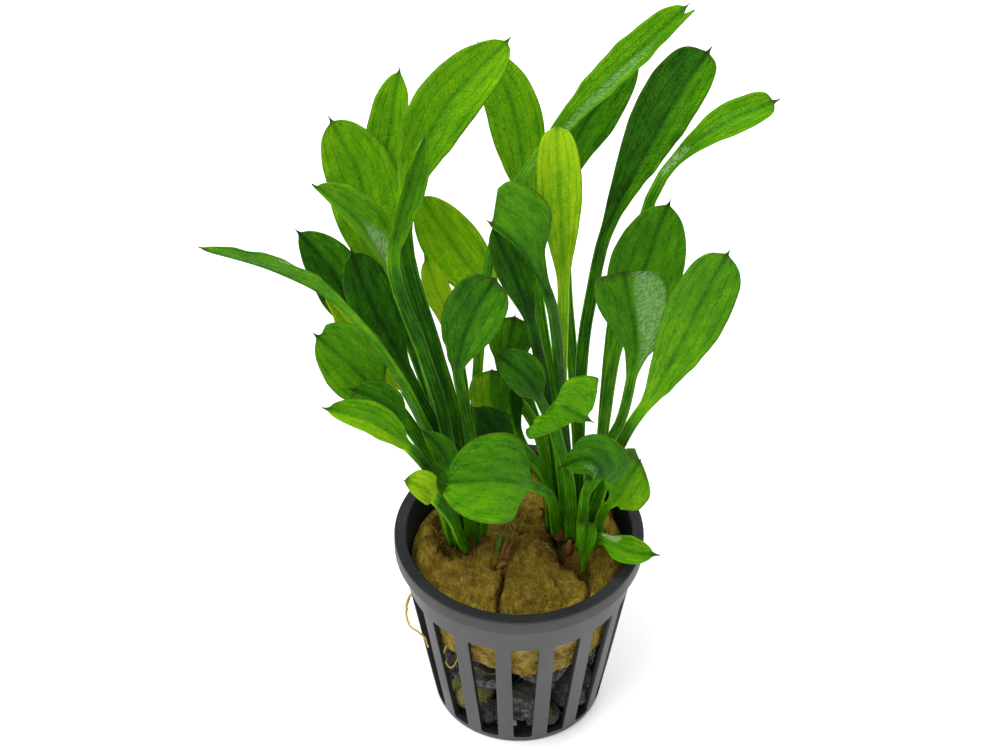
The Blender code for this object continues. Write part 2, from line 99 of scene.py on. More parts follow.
# Leaves, as in the frame: foot, path, blade, width, face and fold, in mm and degrees. A few
# blades, ends and folds differ a little, where the frame's solids had to stay apart. tone runs
# from 0, dark, to 1, lime; tone and its shifts below are partly the leaf's own colour and partly
# painted light and shade, lime where light shines through a blade and darker where a leaf or
# one half lies in shade; cup bends the margins up; wave is the height of the margin's waves;
# broad is how far from the tip the blade is widest, as a share of its length. A small rounding
# makes a blunt end, a large taper a long narrowing foot, and spike scales the pointed tip.
# sides scales the left and right halves, sweep pulls their margins back towards the foot (mm),
# and fork splits the tip. left, right, tip and base shift the tone there, and petiole is the
# petiole's own tone. Each bloom entry is a painted reflection, a silvery patch of sheen
# on the upper side: place along, place across, reach along, reach across, strength.
LEAVES = {
    "leaf_left_tall": leaf(
        (-10.8, 1.7), ((-14, 2, 82), (-18, 4, 101), (-24, 8, 131), (-17, 12, 157), (-2, 16, 175)), 46,
        14.5, (-80, 30), 12, tone=0.66, broad=0.4, taper=1.0, sides=(1.05, 0.82), base=0.12,
        petiole=0.16, stem=3.2),
    "leaf_left_back": leaf(
        (-14.4, 8.0), ((-20.5, 13, 92), (-28, 24, 128), (-27, 29, 143), (-25, 32, 155.5)), 38, 10,
        (-110, 20), 15, tone=0.64, cup=6, base=-0.1, petiole=0.2, stem=2.8),
    "leaf_left_outer": leaf(
        (-13.2, 5.9), ((-18, 8, 78), (-24.5, 13, 100), (-31, 18, 122), (-34, 22, 135), (-40, 25, 148)),
        46, 16, (-80, 35), 10, tone=0.68, wave=0.3, broad=0.38, base=-0.2, petiole=0.2, stem=3.2,
        bloom=((0.3, 0.6, 0.1, 0.2, 0.3),)),
    "leaf_left_folded": leaf(
        (-14.4, 3.8), ((-16, 4, 72), (-20, 5, 95), (-26, 4, 121), (-33, 2, 138), (-42, -1, 151)), 40,
        11, (-40, 60), 20, tone=0.6, cup=6, broad=0.45, taper=0.9, petiole=0.2, stem=3.0,
        bloom=((0.28, 0.2, 0.28, 0.36, 0.8),)),
    "leaf_left_slim": leaf(
        (-12.0, -0.4), ((-16, -3, 85), (-20, -5, 107), (-26, -6, 133), (-23, -5, 152), (-19, -5, 167)),
        36, 7, (-60, 20), 35, tone=0.52, broad=0.35, petiole=0.12, stem=2.8,
        bloom=((0.5, 0.4, 0.2, 0.2, 0.15),)),
    "leaf_left_wedge": leaf(
        (-12.0, 8.0), ((-12, 11, 78), (-15, 14, 100), (-17.5, 16, 107), (-20.5, 18, 116)), 24, 6,
        (-90, 30), 10, tone=1.0, cup=4, wave=0.1, broad=0.4),
    "leaf_left_dark_high": leaf(
        (-15.6, 5.9), ((-20, 5, 75), (-28.5, 7, 96), (-37, 9, 113), (-41, 10, 121), (-47, 11, 129)), 36,
        12, (-80, 45), 15, tone=0.24, cup=6, wave=0.3, left=-0.08, right=0.06),
    "leaf_left_dark": leaf(
        (-13.2, 1.7), ((-16, 0, 75), (-21, -1, 91), (-26, -2, 106), (-31, -2, 120), (-35, -1, 134)), 38,
        11, (-70, 35), 12, tone=0.14, cup=6, wave=0.3, broad=0.35, taper=1.2, base=0.12, petiole=0.12),
    "leaf_left_reaching": leaf(
        (-15.6, 1.7), ((-18, -4, 77), (-25, -10, 106), (-36, -14, 130), (-48, -16, 141),
        (-64, -17, 148)), 38, 7, (90, 62), 25, tone=0.36, cup=10, wave=0.15, broad=0.5, taper=1.3,
        sides=(0.9, 0.9), petiole=0.2, stem=2.0, bloom=((0.3, 0.5, 0.35, 0.45, 0.7),)),
    "leaf_left_lime": leaf(
        (-16.8, 3.8), ((-19, 2, 75), (-24, 1, 94), (-33, 1, 106), (-41, 1, 120)), 38, 5, (-90, 30), 10,
        tone=1.0, cup=4, wave=0.1, broad=0.5, taper=0.8, sides=(1.7, 1.5), petiole=0.7),
    "leaf_left_oval": leaf(
        (-18.0, 1.7), ((-20, -2, 75), (-25, -6, 92), (-31, -8, 102), (-37, -9, 111), (-43, -9, 118)),
        26, 13, (-80, 40), 8, tone=0.5, wave=0.3, broad=0.45, rounding=0.55, sides=(1.05, 1.3),
        sweep=(0.0, -1.5), left=0.05, right=-0.03),
    "leaf_left_small_dark": leaf(
        (-16.8, -0.4), ((-19, -5, 74), (-23, -9.5, 90), (-29, -12, 101), (-36, -13, 106)), 18, 8,
        (-80, 50), 15, tone=0.3, broad=0.45, rounding=0.5),
    "leaf_left_long": leaf(
        (-14.4, -0.4), ((-16, -8, 69), (-23, -16, 91), (-31, -20, 103), (-41, -21, 108)), 26, 8,
        (-80, 60), 20, tone=0.7, cup=10, left=0.1, right=-0.15, petiole=0.2),
    "leaf_left_flared": leaf(
        (-9.6, -0.4), ((-12, -6, 66), (-15, -9, 79), (-17, -11, 87), (-21, -12, 93)), 18, 6, (-80, 35),
        20, tone=0.36, petiole=0.15),
    "leaf_left_tiny": leaf(
        (-12.0, -2.5), ((-13, -6, 54), (-15, -13, 68), (-20, -18, 81), (-25, -19, 85)), 11, 6,
        (-85, 60), 5, tone=1.0, broad=0.5, rounding=0.45, taper=0.8, spike=0.4, sides=(1.1, 1.25),
        petiole=0.2, stem=3.0),
    "leaf_middle_spoon": leaf(
        (-8.4, 1.7), ((-10, -1, 75), (-12, -4, 93), (-13, -8, 108), (-10, -10, 123), (-5, -10, 134)),
        34, 13, (-95, 35), 10, tone=0.28, cup=10, wave=0.3, broad=0.26, rounding=0.42, taper=1.35,
        spike=0.3, left=-0.04, right=0.04, base=-0.1, petiole=0.2),
    "leaf_middle_lime": leaf(
        (-7.2, 3.8), ((-6, 2, 70), (-5, 2, 79), (-6, 3, 88), (-6, 3, 97)), 20, 8, (-90, 30), 8,
        tone=0.52, cup=6, broad=0.3, rounding=0.4, spike=0.4, sides=(1.25, 1.0), left=0.2, right=-0.2),
    "leaf_top_long": leaf(
        (-10.8, 5.9), ((-9, 8, 94), (-6, 13, 121), (-1, 17, 135), (7.5, 20, 147), (18, 24, 158),
        (34.5, 29.5, 173.5)), 48, 8, (-120, 45), 20, tone=0.52, wave=0.3, broad=0.34, fork=4.0,
        left=0.08, petiole=0.35, bloom=((0.35, 0.35, 0.45, 0.5, 0.42),)),
    "leaf_inner_lime": leaf(
        (10.8, 11.0), ((3, 13, 74), (-3, 17, 92), (-8, 21, 104), (-15, 25, 114), (-22, 28, 125)), 34,
        13, (-90, 30), 8, tone=0.84, cup=6, base=0.2),
    "leaf_back_tall": leaf(
        (12.0, 8.9), ((9, 14, 68), (4, 24, 99), (1, 32, 127), (-2, 37, 143), (-9, 41, 155)), 42, 12,
        (-95, 25), 8, tone=0.66, cup=6),
    "leaf_top_behind": leaf(
        (14.4, 8.9), ((12, 15, 83), (10, 23, 106), (10, 30, 130), (16.5, 35, 143), (25, 39, 154)), 38,
        11, (-90, 25), 12, tone=0.36, cup=6),
    "leaf_right_tall": leaf(
        (13.2, 6.8), ((13.5, 11, 90), (15.5, 14, 109), (18.5, 17, 124), (26, 20, 142), (33, 23, 156),
        (39, 26, 165)), 52, 14, (-85, 35), 10, tone=0.27, cup=6, wave=0.4, broad=0.24, taper=1.1,
        sides=(1.1, 0.72), left=-0.1, right=0.12, base=-0.05, petiole=0.22, stem=2.6,
        bloom=((0.62, -0.25, 0.32, 0.6, 0.1),)),
    "leaf_right_spoon": leaf(
        (18.0, 6.8), ((20, 10, 105), (24.5, 12, 124), (29, 15, 139), (39, 17, 150), (53, 19, 157)), 30,
        7.5, (-95, 55), 10, tone=0.5, broad=0.28, rounding=0.5, taper=1.3, petiole=0.35,
        bloom=((0.15, -0.1, 0.15, 0.6, 0.6), (0.6, 0.0, 0.3, 0.5, 0.18))),
    "leaf_right_back": leaf(
        (16.8, 4.7), ((20, 5, 96), (23.5, 6, 108), (27, 8, 125), (31, 10, 138)), 38, 16, (-90, 30), 8,
        tone=0.34, cup=6, wave=0.3, left=0.05, right=0.1),
    "leaf_right_sheen": leaf(
        (14.4, 4.7), ((18, 0, 73), (22, -2, 87), (24, -3, 104), (24, -3, 113), (21, -3, 130)), 32, 15,
        (-90, 25), 25, tone=0.34, cup=6, broad=0.17, rounding=0.26, taper=0.9, spike=0.3,
        sides=(1.0, 1.2), sweep=(-2.6, -2.2), left=0.08, right=0.14,
        bloom=((0.62, 0.56, 0.5, 0.46, 0.6),)),
    "leaf_right_large": leaf(
        (15.6, 2.6), ((19, -2, 69), (23, -9, 90), (27.5, -14, 105), (32.5, -16, 121), (37, -18, 137),
        (41, -19, 149)), 56, 13, (-95, 35), 8, tone=0.52, wave=0.3, broad=0.28, rounding=0.5,
        taper=1.15, left=0.05, tip=-0.12, base=0.15),
    "leaf_centre_lime": leaf(
        (10.8, 6.8), ((9, 4, 90), (9, 3, 119), (8, 3, 143), (7, 4, 163)), 46, 9.5, (-90, 10), 10,
        tone=0.9, cup=6, broad=0.3, rounding=0.5, taper=1.1, tip=0.08, petiole=0.75),
    "leaf_centre_curled": leaf(
        (12.0, 4.7), ((10.5, 1, 70), (9, -1, 90), (7.5, -2, 111), (6, -3.5, 122), (2.5, -5, 132),
        (-1.2, -6.5, 140.5), (-7, -7.5, 147)), 34, 14, (-70, 30), 20, tone=0.36, cup=2, broad=0.18,
        rounding=0.34, taper=2.0, sides=(0.12, 1.5), sweep=(0.0, -5.0), tip=0.08, base=-0.1,
        petiole=0.12),
    "leaf_centre_under": leaf(
        (9.6, 4.7), ((7, 1, 80), (4.5, 0, 100), (1, 0, 118), (-3, 0, 131), (-6, 0, 140)), 30, 8,
        (-70, 20), 15, tone=0.2, broad=0.36, rounding=0.5, base=-0.1, petiole=0.05),
    "leaf_centre_back": leaf(
        (8.4, 6.8), ((4, 7, 74), (-3, 7, 89), (-2.3, 7, 99), (-1, 7, 109)), 20, 10, (-90, 30), 10,
        tone=0.36, cup=4, wave=0.3, broad=0.25, rounding=0.4, spike=0.6, right=-0.12, petiole=0.4),
    "leaf_centre_narrow": leaf(
        (8.4, 8.9), ((7, 9, 54), (1, 6, 70), (-1, 5, 78), (-2, 5, 86), (-1, 5, 94)), 20, 4.5, (-90, 30),
        10, tone=0.55, cup=6, wave=0.1, broad=0.35, sides=(1.2, 1.3), left=0.15, right=-0.45),
    "leaf_centre_wide": leaf(
        (10.8, 2.6), ((8.5, -1.5, 76), (6, -4, 89), (3, -6, 99), (0, -7, 105), (-5, -8, 111)), 19, 9,
        (-80, 45), 15, tone=0.24, broad=0.4, rounding=0.5, spike=0.3),
    "leaf_centre_lobed": leaf(
        (12.0, 0.5), ((11, -4, 68), (8.5, -8, 84), (6.6, -10.6, 97), (8.2, -11.8, 99.8),
        (12, -12.7, 98.2), (15.5, -13.5, 96.5)), 9, 17, (-100, 40), 12, tone=0.44, cup=4, broad=0.5,
        rounding=0.75, taper=0.55, spike=1.0, sides=(1.1, 1.1), sweep=(-0.5, 5.5)),
    "leaf_low_dark": leaf(
        (7.2, 4.7), ((6, 1, 65), (1, -2, 77), (-5, -5, 86), (-10, -8, 96)), 19, 9, (-85, 45), 12,
        tone=0.05, wave=0.3),
    "leaf_low_round": leaf(
        (8.4, 2.6), ((7, -4, 64), (3, -12, 76), (-5, -18, 84), (-17, -21, 86)), 24, 20, (-85, 50), 6,
        tone=0.42, wave=0.4, broad=0.48, rounding=0.55, taper=0.62, sweep=(-2.0, 0.0), left=0.12,
        right=-0.04),
    "leaf_low_folded": leaf(
        (14.4, -1.6), ((14, -4, 58), (14.5, -9.5, 72), (17, -15, 84), (14, -16, 88.5), (8, -16, 85.5)),
        17, 9, (-80, 50), 20, tone=0.28, cup=10, wave=0.3, broad=0.5, taper=0.8, sides=(1.0, 1.3),
        sweep=(0.0, 2.5), bloom=((0.45, -0.5, 0.2, 0.25, 0.5),)),
    "leaf_low_pale": leaf(
        (17.4, 1.6), ((18.5, -4, 60), (21, -8, 68), (23.5, -9.5, 76), (26, -9.5, 82)), 19, 12,
        (-80, 35), 10, tone=0.56, wave=0.3, broad=0.32, rounding=0.45, spike=0.3, sides=(1.1, 1.0),
        sweep=(-3.5, 3.0), left=-0.08, right=0.12),
    "leaf_low_spoon": leaf(
        (14.6, -7.0), ((14.6, -7.8, 51), (14.8, -8, 56), (15, -7.6, 61)), 14, 4.6, (-90, 30), 10,
        tone=0.42, wave=0.1, broad=0.26, rounding=0.4, taper=0.8, spike=0.2, sweep=(-0.8, -0.4),
        stem=1.3, sheath=1.2),
    "leaf_over_lip": leaf(
        (17.4, -1.6), ((18, -4, 51.5), (24, -9, 52.6), (31, -11, 53.5)), 14, 7, (-90, 60), 10,
        tone=0.62, cup=10, wave=0.3, broad=0.48, rounding=0.55, bloom=((0.12, -0.6, 0.18, 0.35, 0.9),)),
}

ROOTS = {
    "root_slot": (0.22, ((-15.2, -13.2, 30), (-16.6, -14.6, 27), (-17.0, -14.2, 23.5),
                         (-15.6, -14.8, 20.5), (-14.2, -14.4, 22), (-13.6, -13.0, 24))),
    "root_outer": (0.33, ((-23.4, -1.6, 31), (-24.2, -2.2, 31.5), (-25.2, -3.2, 30.5),
                          (-25.6, -4.8, 28), (-24.9, -6.8, 26), (-23, -8.4, 25.6),
                          (-21.4, -9.4, 24.6), (-20.6, -9.8, 22))),
}


# ---------------------------------------------------------------- shapes
def add_object(name, points, faces, material, smooth=True):
    """A mesh object from points in mm."""
    mesh = bpy.data.meshes.new(name)
    mesh.from_pydata([tuple(p) for p in np.asarray(points) * MM], [], faces)
    mesh.materials.append(material)
    obj = bpy.data.objects.new(name, mesh)
    bpy.context.scene.collection.objects.link(obj)
    if smooth:
        mesh.shade_smooth()
    mesh.validate()
    return obj


def finish_mesh(work, name, material):
    """A smooth object from a bmesh, which is freed."""
    mesh = bpy.data.meshes.new(name)
    work.to_mesh(mesh)
    work.free()
    mesh.materials.append(material)
    mesh.shade_smooth()
    obj = bpy.data.objects.new(name, mesh)
    bpy.context.scene.collection.objects.link(obj)
    return obj


def paint(obj, name, values, kind="FLOAT"):
    """Store one number, or one vector, for each point of a mesh."""
    layer = obj.data.attributes.new(name, kind, "POINT")
    field = "value" if kind == "FLOAT" else "vector"
    layer.data.foreach_set(field, np.asarray(values, dtype=np.float32).ravel())


def ring_faces(rings, size):
    """Quads between closed rings, with a cap at each end."""
    faces = []
    for i in range(rings - 1):
        here = i * size
        for j in range(size):
            k = (j + 1) % size
            faces.append((here + j, here + k, here + size + k, here + size + j))
    faces.append(tuple(range(size))[::-1])
    faces.append(tuple((rings - 1) * size + j for j in range(size)))
    return faces


def smooth_line(points):
    """Points on a smooth curve through the given ones, and how far along each is."""
    p = [np.array(q, dtype=float) for q in points]
    ends = [p[0] * 2 - p[1], *p, p[-1] * 2 - p[-2]]
    fine = []
    for a, b, c, d in zip(ends, ends[1:], ends[2:], ends[3:]):
        for k in range(12):
            t = k / 12
            fine.append((b * 2 + (c - a) * t + (a * 2 - b * 5 + c * 4 - d) * t * t
                         + (b * 3 - a - c * 3 + d) * t ** 3) / 2)
    fine.append(p[-1])
    fine = np.array(fine)
    steps = np.linalg.norm(np.diff(fine, axis=0), axis=1)
    return fine, np.concatenate([[0.0], np.cumsum(steps)])


def along_line(line, reach, stations):
    return np.stack([np.interp(stations, reach, line[:, k]) for k in range(3)], axis=-1)


def unit(v):
    return v / np.maximum(np.linalg.norm(v, axis=-1, keepdims=True), 1e-9)


def ease(x, low, high):
    t = np.clip((x - low) / (high - low), 0.0, 1.0)
    return t * t * (3 - 2 * t)


def foot_height(x, y):
    """Where a petiole starts: on its crown, or on the wool beside it."""
    for cx, cy in CROWNS.values():
        if math.hypot(x - cx, y - cy) < CROWN_RADIUS + 1.8:
            return WOOL_TOP + GAP + CROWN_HEIGHT + 2 * GAP
    return WOOL_TOP + 2 * GAP


def gather(x, y):
    """Petioles crowd together where their sheaths overlap, most of all in the left rosette."""
    if x > 0:
        return (x - 12.6) * 0.9 + 12.6, y
    return (x + 11.0) * 0.55 - 11.0, y * 0.7


def half_width(row, from_tip, from_foot):
    """Half the leaf's width: spike, oval blade, then petiole widening into its sheath."""
    blade = row["blade"]
    tip = 0.75 * SPIKE * min(row["spike"], 1.0)
    share = np.clip((from_tip - tip) / (blade - tip), 0.0, 1.0)
    swell = share ** (math.log(0.5) / math.log(row["broad"]))
    bow = np.sin(math.pi * swell)
    round_end = np.where(swell < 0.5, row["rounding"], row["taper"])
    oval = row["width"] / 2 * np.maximum(bow, 0.0) ** round_end
    spike = 0.12 + 0.75 * row["spike"] * ease(from_tip, 0.0, SPIKE) ** 1.4
    stem = row["stem"] / 2
    foot = 1 - ease(from_foot, 0.0, SHEATH_REACH)
    petiole = stem + (row["sheath"] - row["stem"]) / 2 * foot
    petiole = petiole * ease(from_tip, 0.3 * blade, 0.75 * blade)
    return (oval ** 3 + petiole ** 3 + spike ** 3) ** (1 / 3)


def leaf_course(row):
    """Stations along a leaf, each with its place and its ways along, across and up."""
    x, y = row["foot"]
    line, reach = smooth_line([(*gather(x, y), foot_height(x, y) - BURIED), *row["path"]])
    length = reach[-1]
    blade = min(row["blade"], length - LEAST_STEM)
    t = np.linspace(0.0, 1.0, BLADE_STEPS + 1)
    t = 0.55 * t + 0.45 * np.sin(t * math.pi / 2)
    stem = np.linspace(0.0, length - blade, STEM_STEPS, endpoint=False)
    s = np.concatenate([stem, length - blade * (1 - t)])
    here = along_line(line, reach, s)
    ahead = along_line(line, reach, np.minimum(s + 0.5, length))
    along = unit(ahead - along_line(line, reach, np.maximum(s - 0.5, 0.0)))
    turn, rise = (math.radians(a) for a in row["face"])
    look = np.array([math.cos(rise) * math.cos(turn), math.cos(rise) * math.sin(turn), math.sin(rise)])
    up = unit(look - along * (along @ look)[:, None])
    frame_of = [ways[:, None, :] for ways in (here, along, np.cross(along, up), up)]
    return (*frame_of, s[:, None], length, blade)


def leaf_bend(row, seed, h, s, v, in_blade):
    """How far the blade rises above its middle line: fold, cup, waves and quilting."""
    fold, cup = (math.sin(math.radians(row[bend])) for bend in ("fold", "cup"))
    bend = h * (fold * (np.sqrt(v ** 2 + 0.02) - 0.14) + 1.6 * cup * v ** 2)
    ripple = np.sin(s * 0.62 + seed + 1.9 * (v > 0)) + 0.6 * np.sin(s * 1.13 + 2.1 * seed)
    bend = bend + row["wave"] * ripple * np.abs(v) ** 2.5
    crease = np.abs(np.sin((s + 0.75 * np.abs(h * v)) * math.pi / VEIN_STEP + seed))
    quilt = 0.10 * crease * np.sin(math.pi * np.clip(np.abs(v), 0, 1)) ** 0.7
    bend = in_blade * (bend + quilt * ease(h, 1.5, 4.0))
    narrow = 1 - (in_blade * (fold * 0.8 + cup * np.abs(v))) ** 2
    return bend, np.sqrt(np.clip(narrow, 0.2, 1.0))


def leaf_sides(x, s, v, share, from_tip, in_blade):
    """Heights of the upper side and of the underside: round petiole, thin blade, thick midrib."""
    edge = np.sqrt(np.clip(1 - v ** 6, 0.0, 1.0))
    ridge = (0.95 - 0.75 * ease(share, 0.0, 1.0)) * np.exp(-(x / 0.75) ** 2)
    groove = -0.16 * np.exp(-(x / 0.45) ** 2) * ease(from_tip, 0.0, 4.0)
    round_stem = np.sqrt(np.clip(1 - v ** 2, 0.0, 1.0))
    depth = (1 - in_blade) * (1.5 + 0.5 * (1 - ease(s, 0.0, SHEATH_REACH)))
    thick = depth * round_stem + in_blade * edge * (LEAF_THICKNESS + ridge)
    thick = thick * (0.35 + 0.65 * ease(from_tip, 0.0, 2.0))
    top = depth * (0.42 * round_stem - 0.10 * (1 - v ** 2)) + in_blade * (0.16 * edge + groove)
    return top, top - thick


def paint_leaf(obj, row, x, v, share, from_tip, upper):
    """Store what the leaf's material reads at each point."""
    flat = x.shape
    layout = [np.broadcast_to(part, flat) for part in (x, from_tip, v)]
    paint(obj, "layout", np.stack(layout, axis=-1), "FLOAT_VECTOR")
    paint(obj, "blade", np.broadcast_to(ease(share, -0.02, 0.25), flat))
    paint(obj, "under", 1 - np.broadcast_to(upper, flat))
    # tone, with its shifts for the halves, tip and foot, is partly the leaf's own colour and partly
    # painted light and shade
    right = ease(v, -0.25, 0.25)
    in_stem = 1 - ease(share, -0.1, 0.12)
    tone = row["tone"] + 0 * x + right * row["right"] + (1 - right) * row["left"]
    tone = tone + ease(share, 0.55, 1.0) * row["tip"]
    tone = tone + (1 - ease(share, 0.0, 0.45)) * (1 - in_stem) * row["base"]
    paint(obj, "tone", tone * (1 - in_stem) + in_stem * row["petiole"])
    # painted reflection: silvery sheen patches painted on the upper side only
    bloom = 0 * x
    for place, across, reach_along, reach_across, strength in row["bloom"]:
        far = ((share - place) / reach_along) ** 2 + ((v - across) / reach_across) ** 2
        bloom = np.maximum(bloom, strength * (1 - ease(far, 0.5, 1.5)))
    paint(obj, "bloom", bloom * upper)


def build_leaf(name, row, material):
    """A closed shell: the upper side from margin to margin, then the underside back."""
    here, along, side, up, s, length, blade = leaf_course(row)
    from_tip = length - s
    share = 1 - from_tip / blade                       # 0 at the blade's foot, 1 at its tip
    in_blade = ease(share, 0.0, 0.35)
    half = half_width(row, from_tip, s)

    u = np.linspace(-1.0, 1.0, ACROSS)
    v = np.sign(u) * np.abs(u) ** 1.2
    v = np.concatenate([v, v[-2:0:-1]])[None, :]
    upper = np.concatenate([np.ones(ACROSS), np.zeros(ACROSS - 2)])[None, :]
    whole = ease(half, 1.2, 2.5)
    h = half * (1 - whole + whole * np.where(v < 0, *row["sides"]))
    x = h * v

    bend, narrow = leaf_bend(row, sum(ord(c) for c in name), h, s, v, in_blade)
    top, under = leaf_sides(x, s, v, share, from_tip, in_blade)
    slide = -np.where(v < 0, *row["sweep"]) * np.abs(v) ** 1.6 * whole
    split = np.exp(-((share - FORK_AT) / 0.028) ** 2)
    split = split - 0.45 * np.exp(-((share - FORK_AT - 0.05) / 0.014) ** 2)
    slide = slide + row["fork"] * split * ease(v, 0.3, 0.95)
    lift = bend + np.where(upper > 0.5, top, under)
    points = here + side * (x * narrow)[..., None] + up * lift[..., None] + along * slide[..., None]
    obj = add_object(name, points.reshape(-1, 3), ring_faces(len(s), 2 * ACROSS - 2), material)
    paint_leaf(obj, row, x, v, share, from_tip, upper)
    return obj


# ---------------------------------------------------------------- materials
class Finish:
    """A Principled material and short ways to add nodes to it."""

    def __init__(self, name, roughness=0.5, specular=0.4):
        self.material = bpy.data.materials.new(name)
        self.material.use_nodes = True
        self.tree = self.material.node_tree
        self.shader = self.tree.nodes["Principled BSDF"]
        self.set("Roughness", roughness)
        self.set("Specular IOR Level", specular)
        self.place = self.tree.nodes.new("ShaderNodeTexCoord").outputs["Object"]

    def set(self, socket, value):
        if isinstance(value, bpy.types.NodeSocket):
            self.tree.links.new(value, self.shader.inputs[socket])
        else:
            self.shader.inputs[socket].default_value = value

    def feed(self, socket, value):
        if isinstance(value, bpy.types.NodeSocket):
            self.tree.links.new(value, socket)
        elif socket.type == "RGBA":
            socket.default_value = (*value, 1.0)
        else:
            socket.default_value = value

    def node(self, kind, *values, output=0, **settings):
        """Add a node, set its options, feed its inputs in order and give one output."""
        node = self.tree.nodes.new("ShaderNode" + kind)
        for option, value in settings.items():
            setattr(node, option, value)
        for socket, value in zip(node.inputs, values):
            self.feed(socket, value)
        return node.outputs[output]

    def math(self, operation, *values, clamp=False):
        return self.node("Math", *values, operation=operation, use_clamp=clamp)

    def plus(self, a, b):
        return self.math("ADD", a, b)

    def minus(self, a, b):
        return self.math("SUBTRACT", a, b)

    def times(self, a, b):
        return self.math("MULTIPLY", a, b)

    def vary(self, value, pattern, amount):
        """A value moved up and down by a pattern that runs from 0 to 1."""
        return self.plus(value, self.times(self.minus(pattern, 0.5), amount))

    def step(self, value, low, high, start=0.0, end=1.0):
        """Smooth change from start to end while value goes from low to high."""
        return self.node("MapRange", value, low, high, start, end, interpolation_type="SMOOTHSTEP")

    def mix(self, share, a, b):
        node = self.tree.nodes.new("ShaderNodeMix")
        node.data_type = "RGBA"
        self.feed(node.inputs["Factor"], share)
        self.feed(node.inputs["A"], a)
        self.feed(node.inputs["B"], b)
        return node.outputs["Result"]

    def ramp(self, value, *stops):
        node = self.tree.nodes.new("ShaderNodeValToRGB")
        self.feed(node.inputs[0], value)
        marks = node.color_ramp.elements
        while len(marks) < len(stops):
            marks.new(0.5)
        for mark, (where, colour) in zip(marks, stops):
            mark.position = where
            mark.color = (*colour, 1.0)
        return node.outputs["Color"]

    def stretch(self, vector, x, y, z):
        return self.node("VectorMath", vector, (x, y, z), operation="MULTIPLY")

    def noise(self, vector, scale, detail=4.0, roughness=0.55, distortion=0.0):
        node = self.tree.nodes.new("ShaderNodeTexNoise")
        for socket, value in (("Vector", vector), ("Scale", scale), ("Detail", detail),
                              ("Roughness", roughness), ("Distortion", distortion)):
            self.feed(node.inputs[socket], value)
        return node.outputs["Fac"]

    def cells(self, vector, scale):
        """Distance to the nearest edge between irregular cells."""
        node = self.tree.nodes.new("ShaderNodeTexVoronoi")
        node.feature = "DISTANCE_TO_EDGE"
        self.feed(node.inputs["Vector"], vector)
        self.feed(node.inputs["Scale"], scale)
        return node.outputs["Distance"]

    def attribute(self, name, output="Fac"):
        return self.node("Attribute", output=output, attribute_name=name)

    def split(self, vector):
        node = self.tree.nodes.new("ShaderNodeSeparateXYZ")
        self.feed(node.inputs[0], vector)
        return node.outputs

    def bump(self, height, strength, distance):
        node = self.tree.nodes.new("ShaderNodeBump")
        self.feed(node.inputs["Height"], height)
        node.inputs["Strength"].default_value = strength
        node.inputs["Distance"].default_value = distance
        self.set("Normal", node.outputs["Normal"])


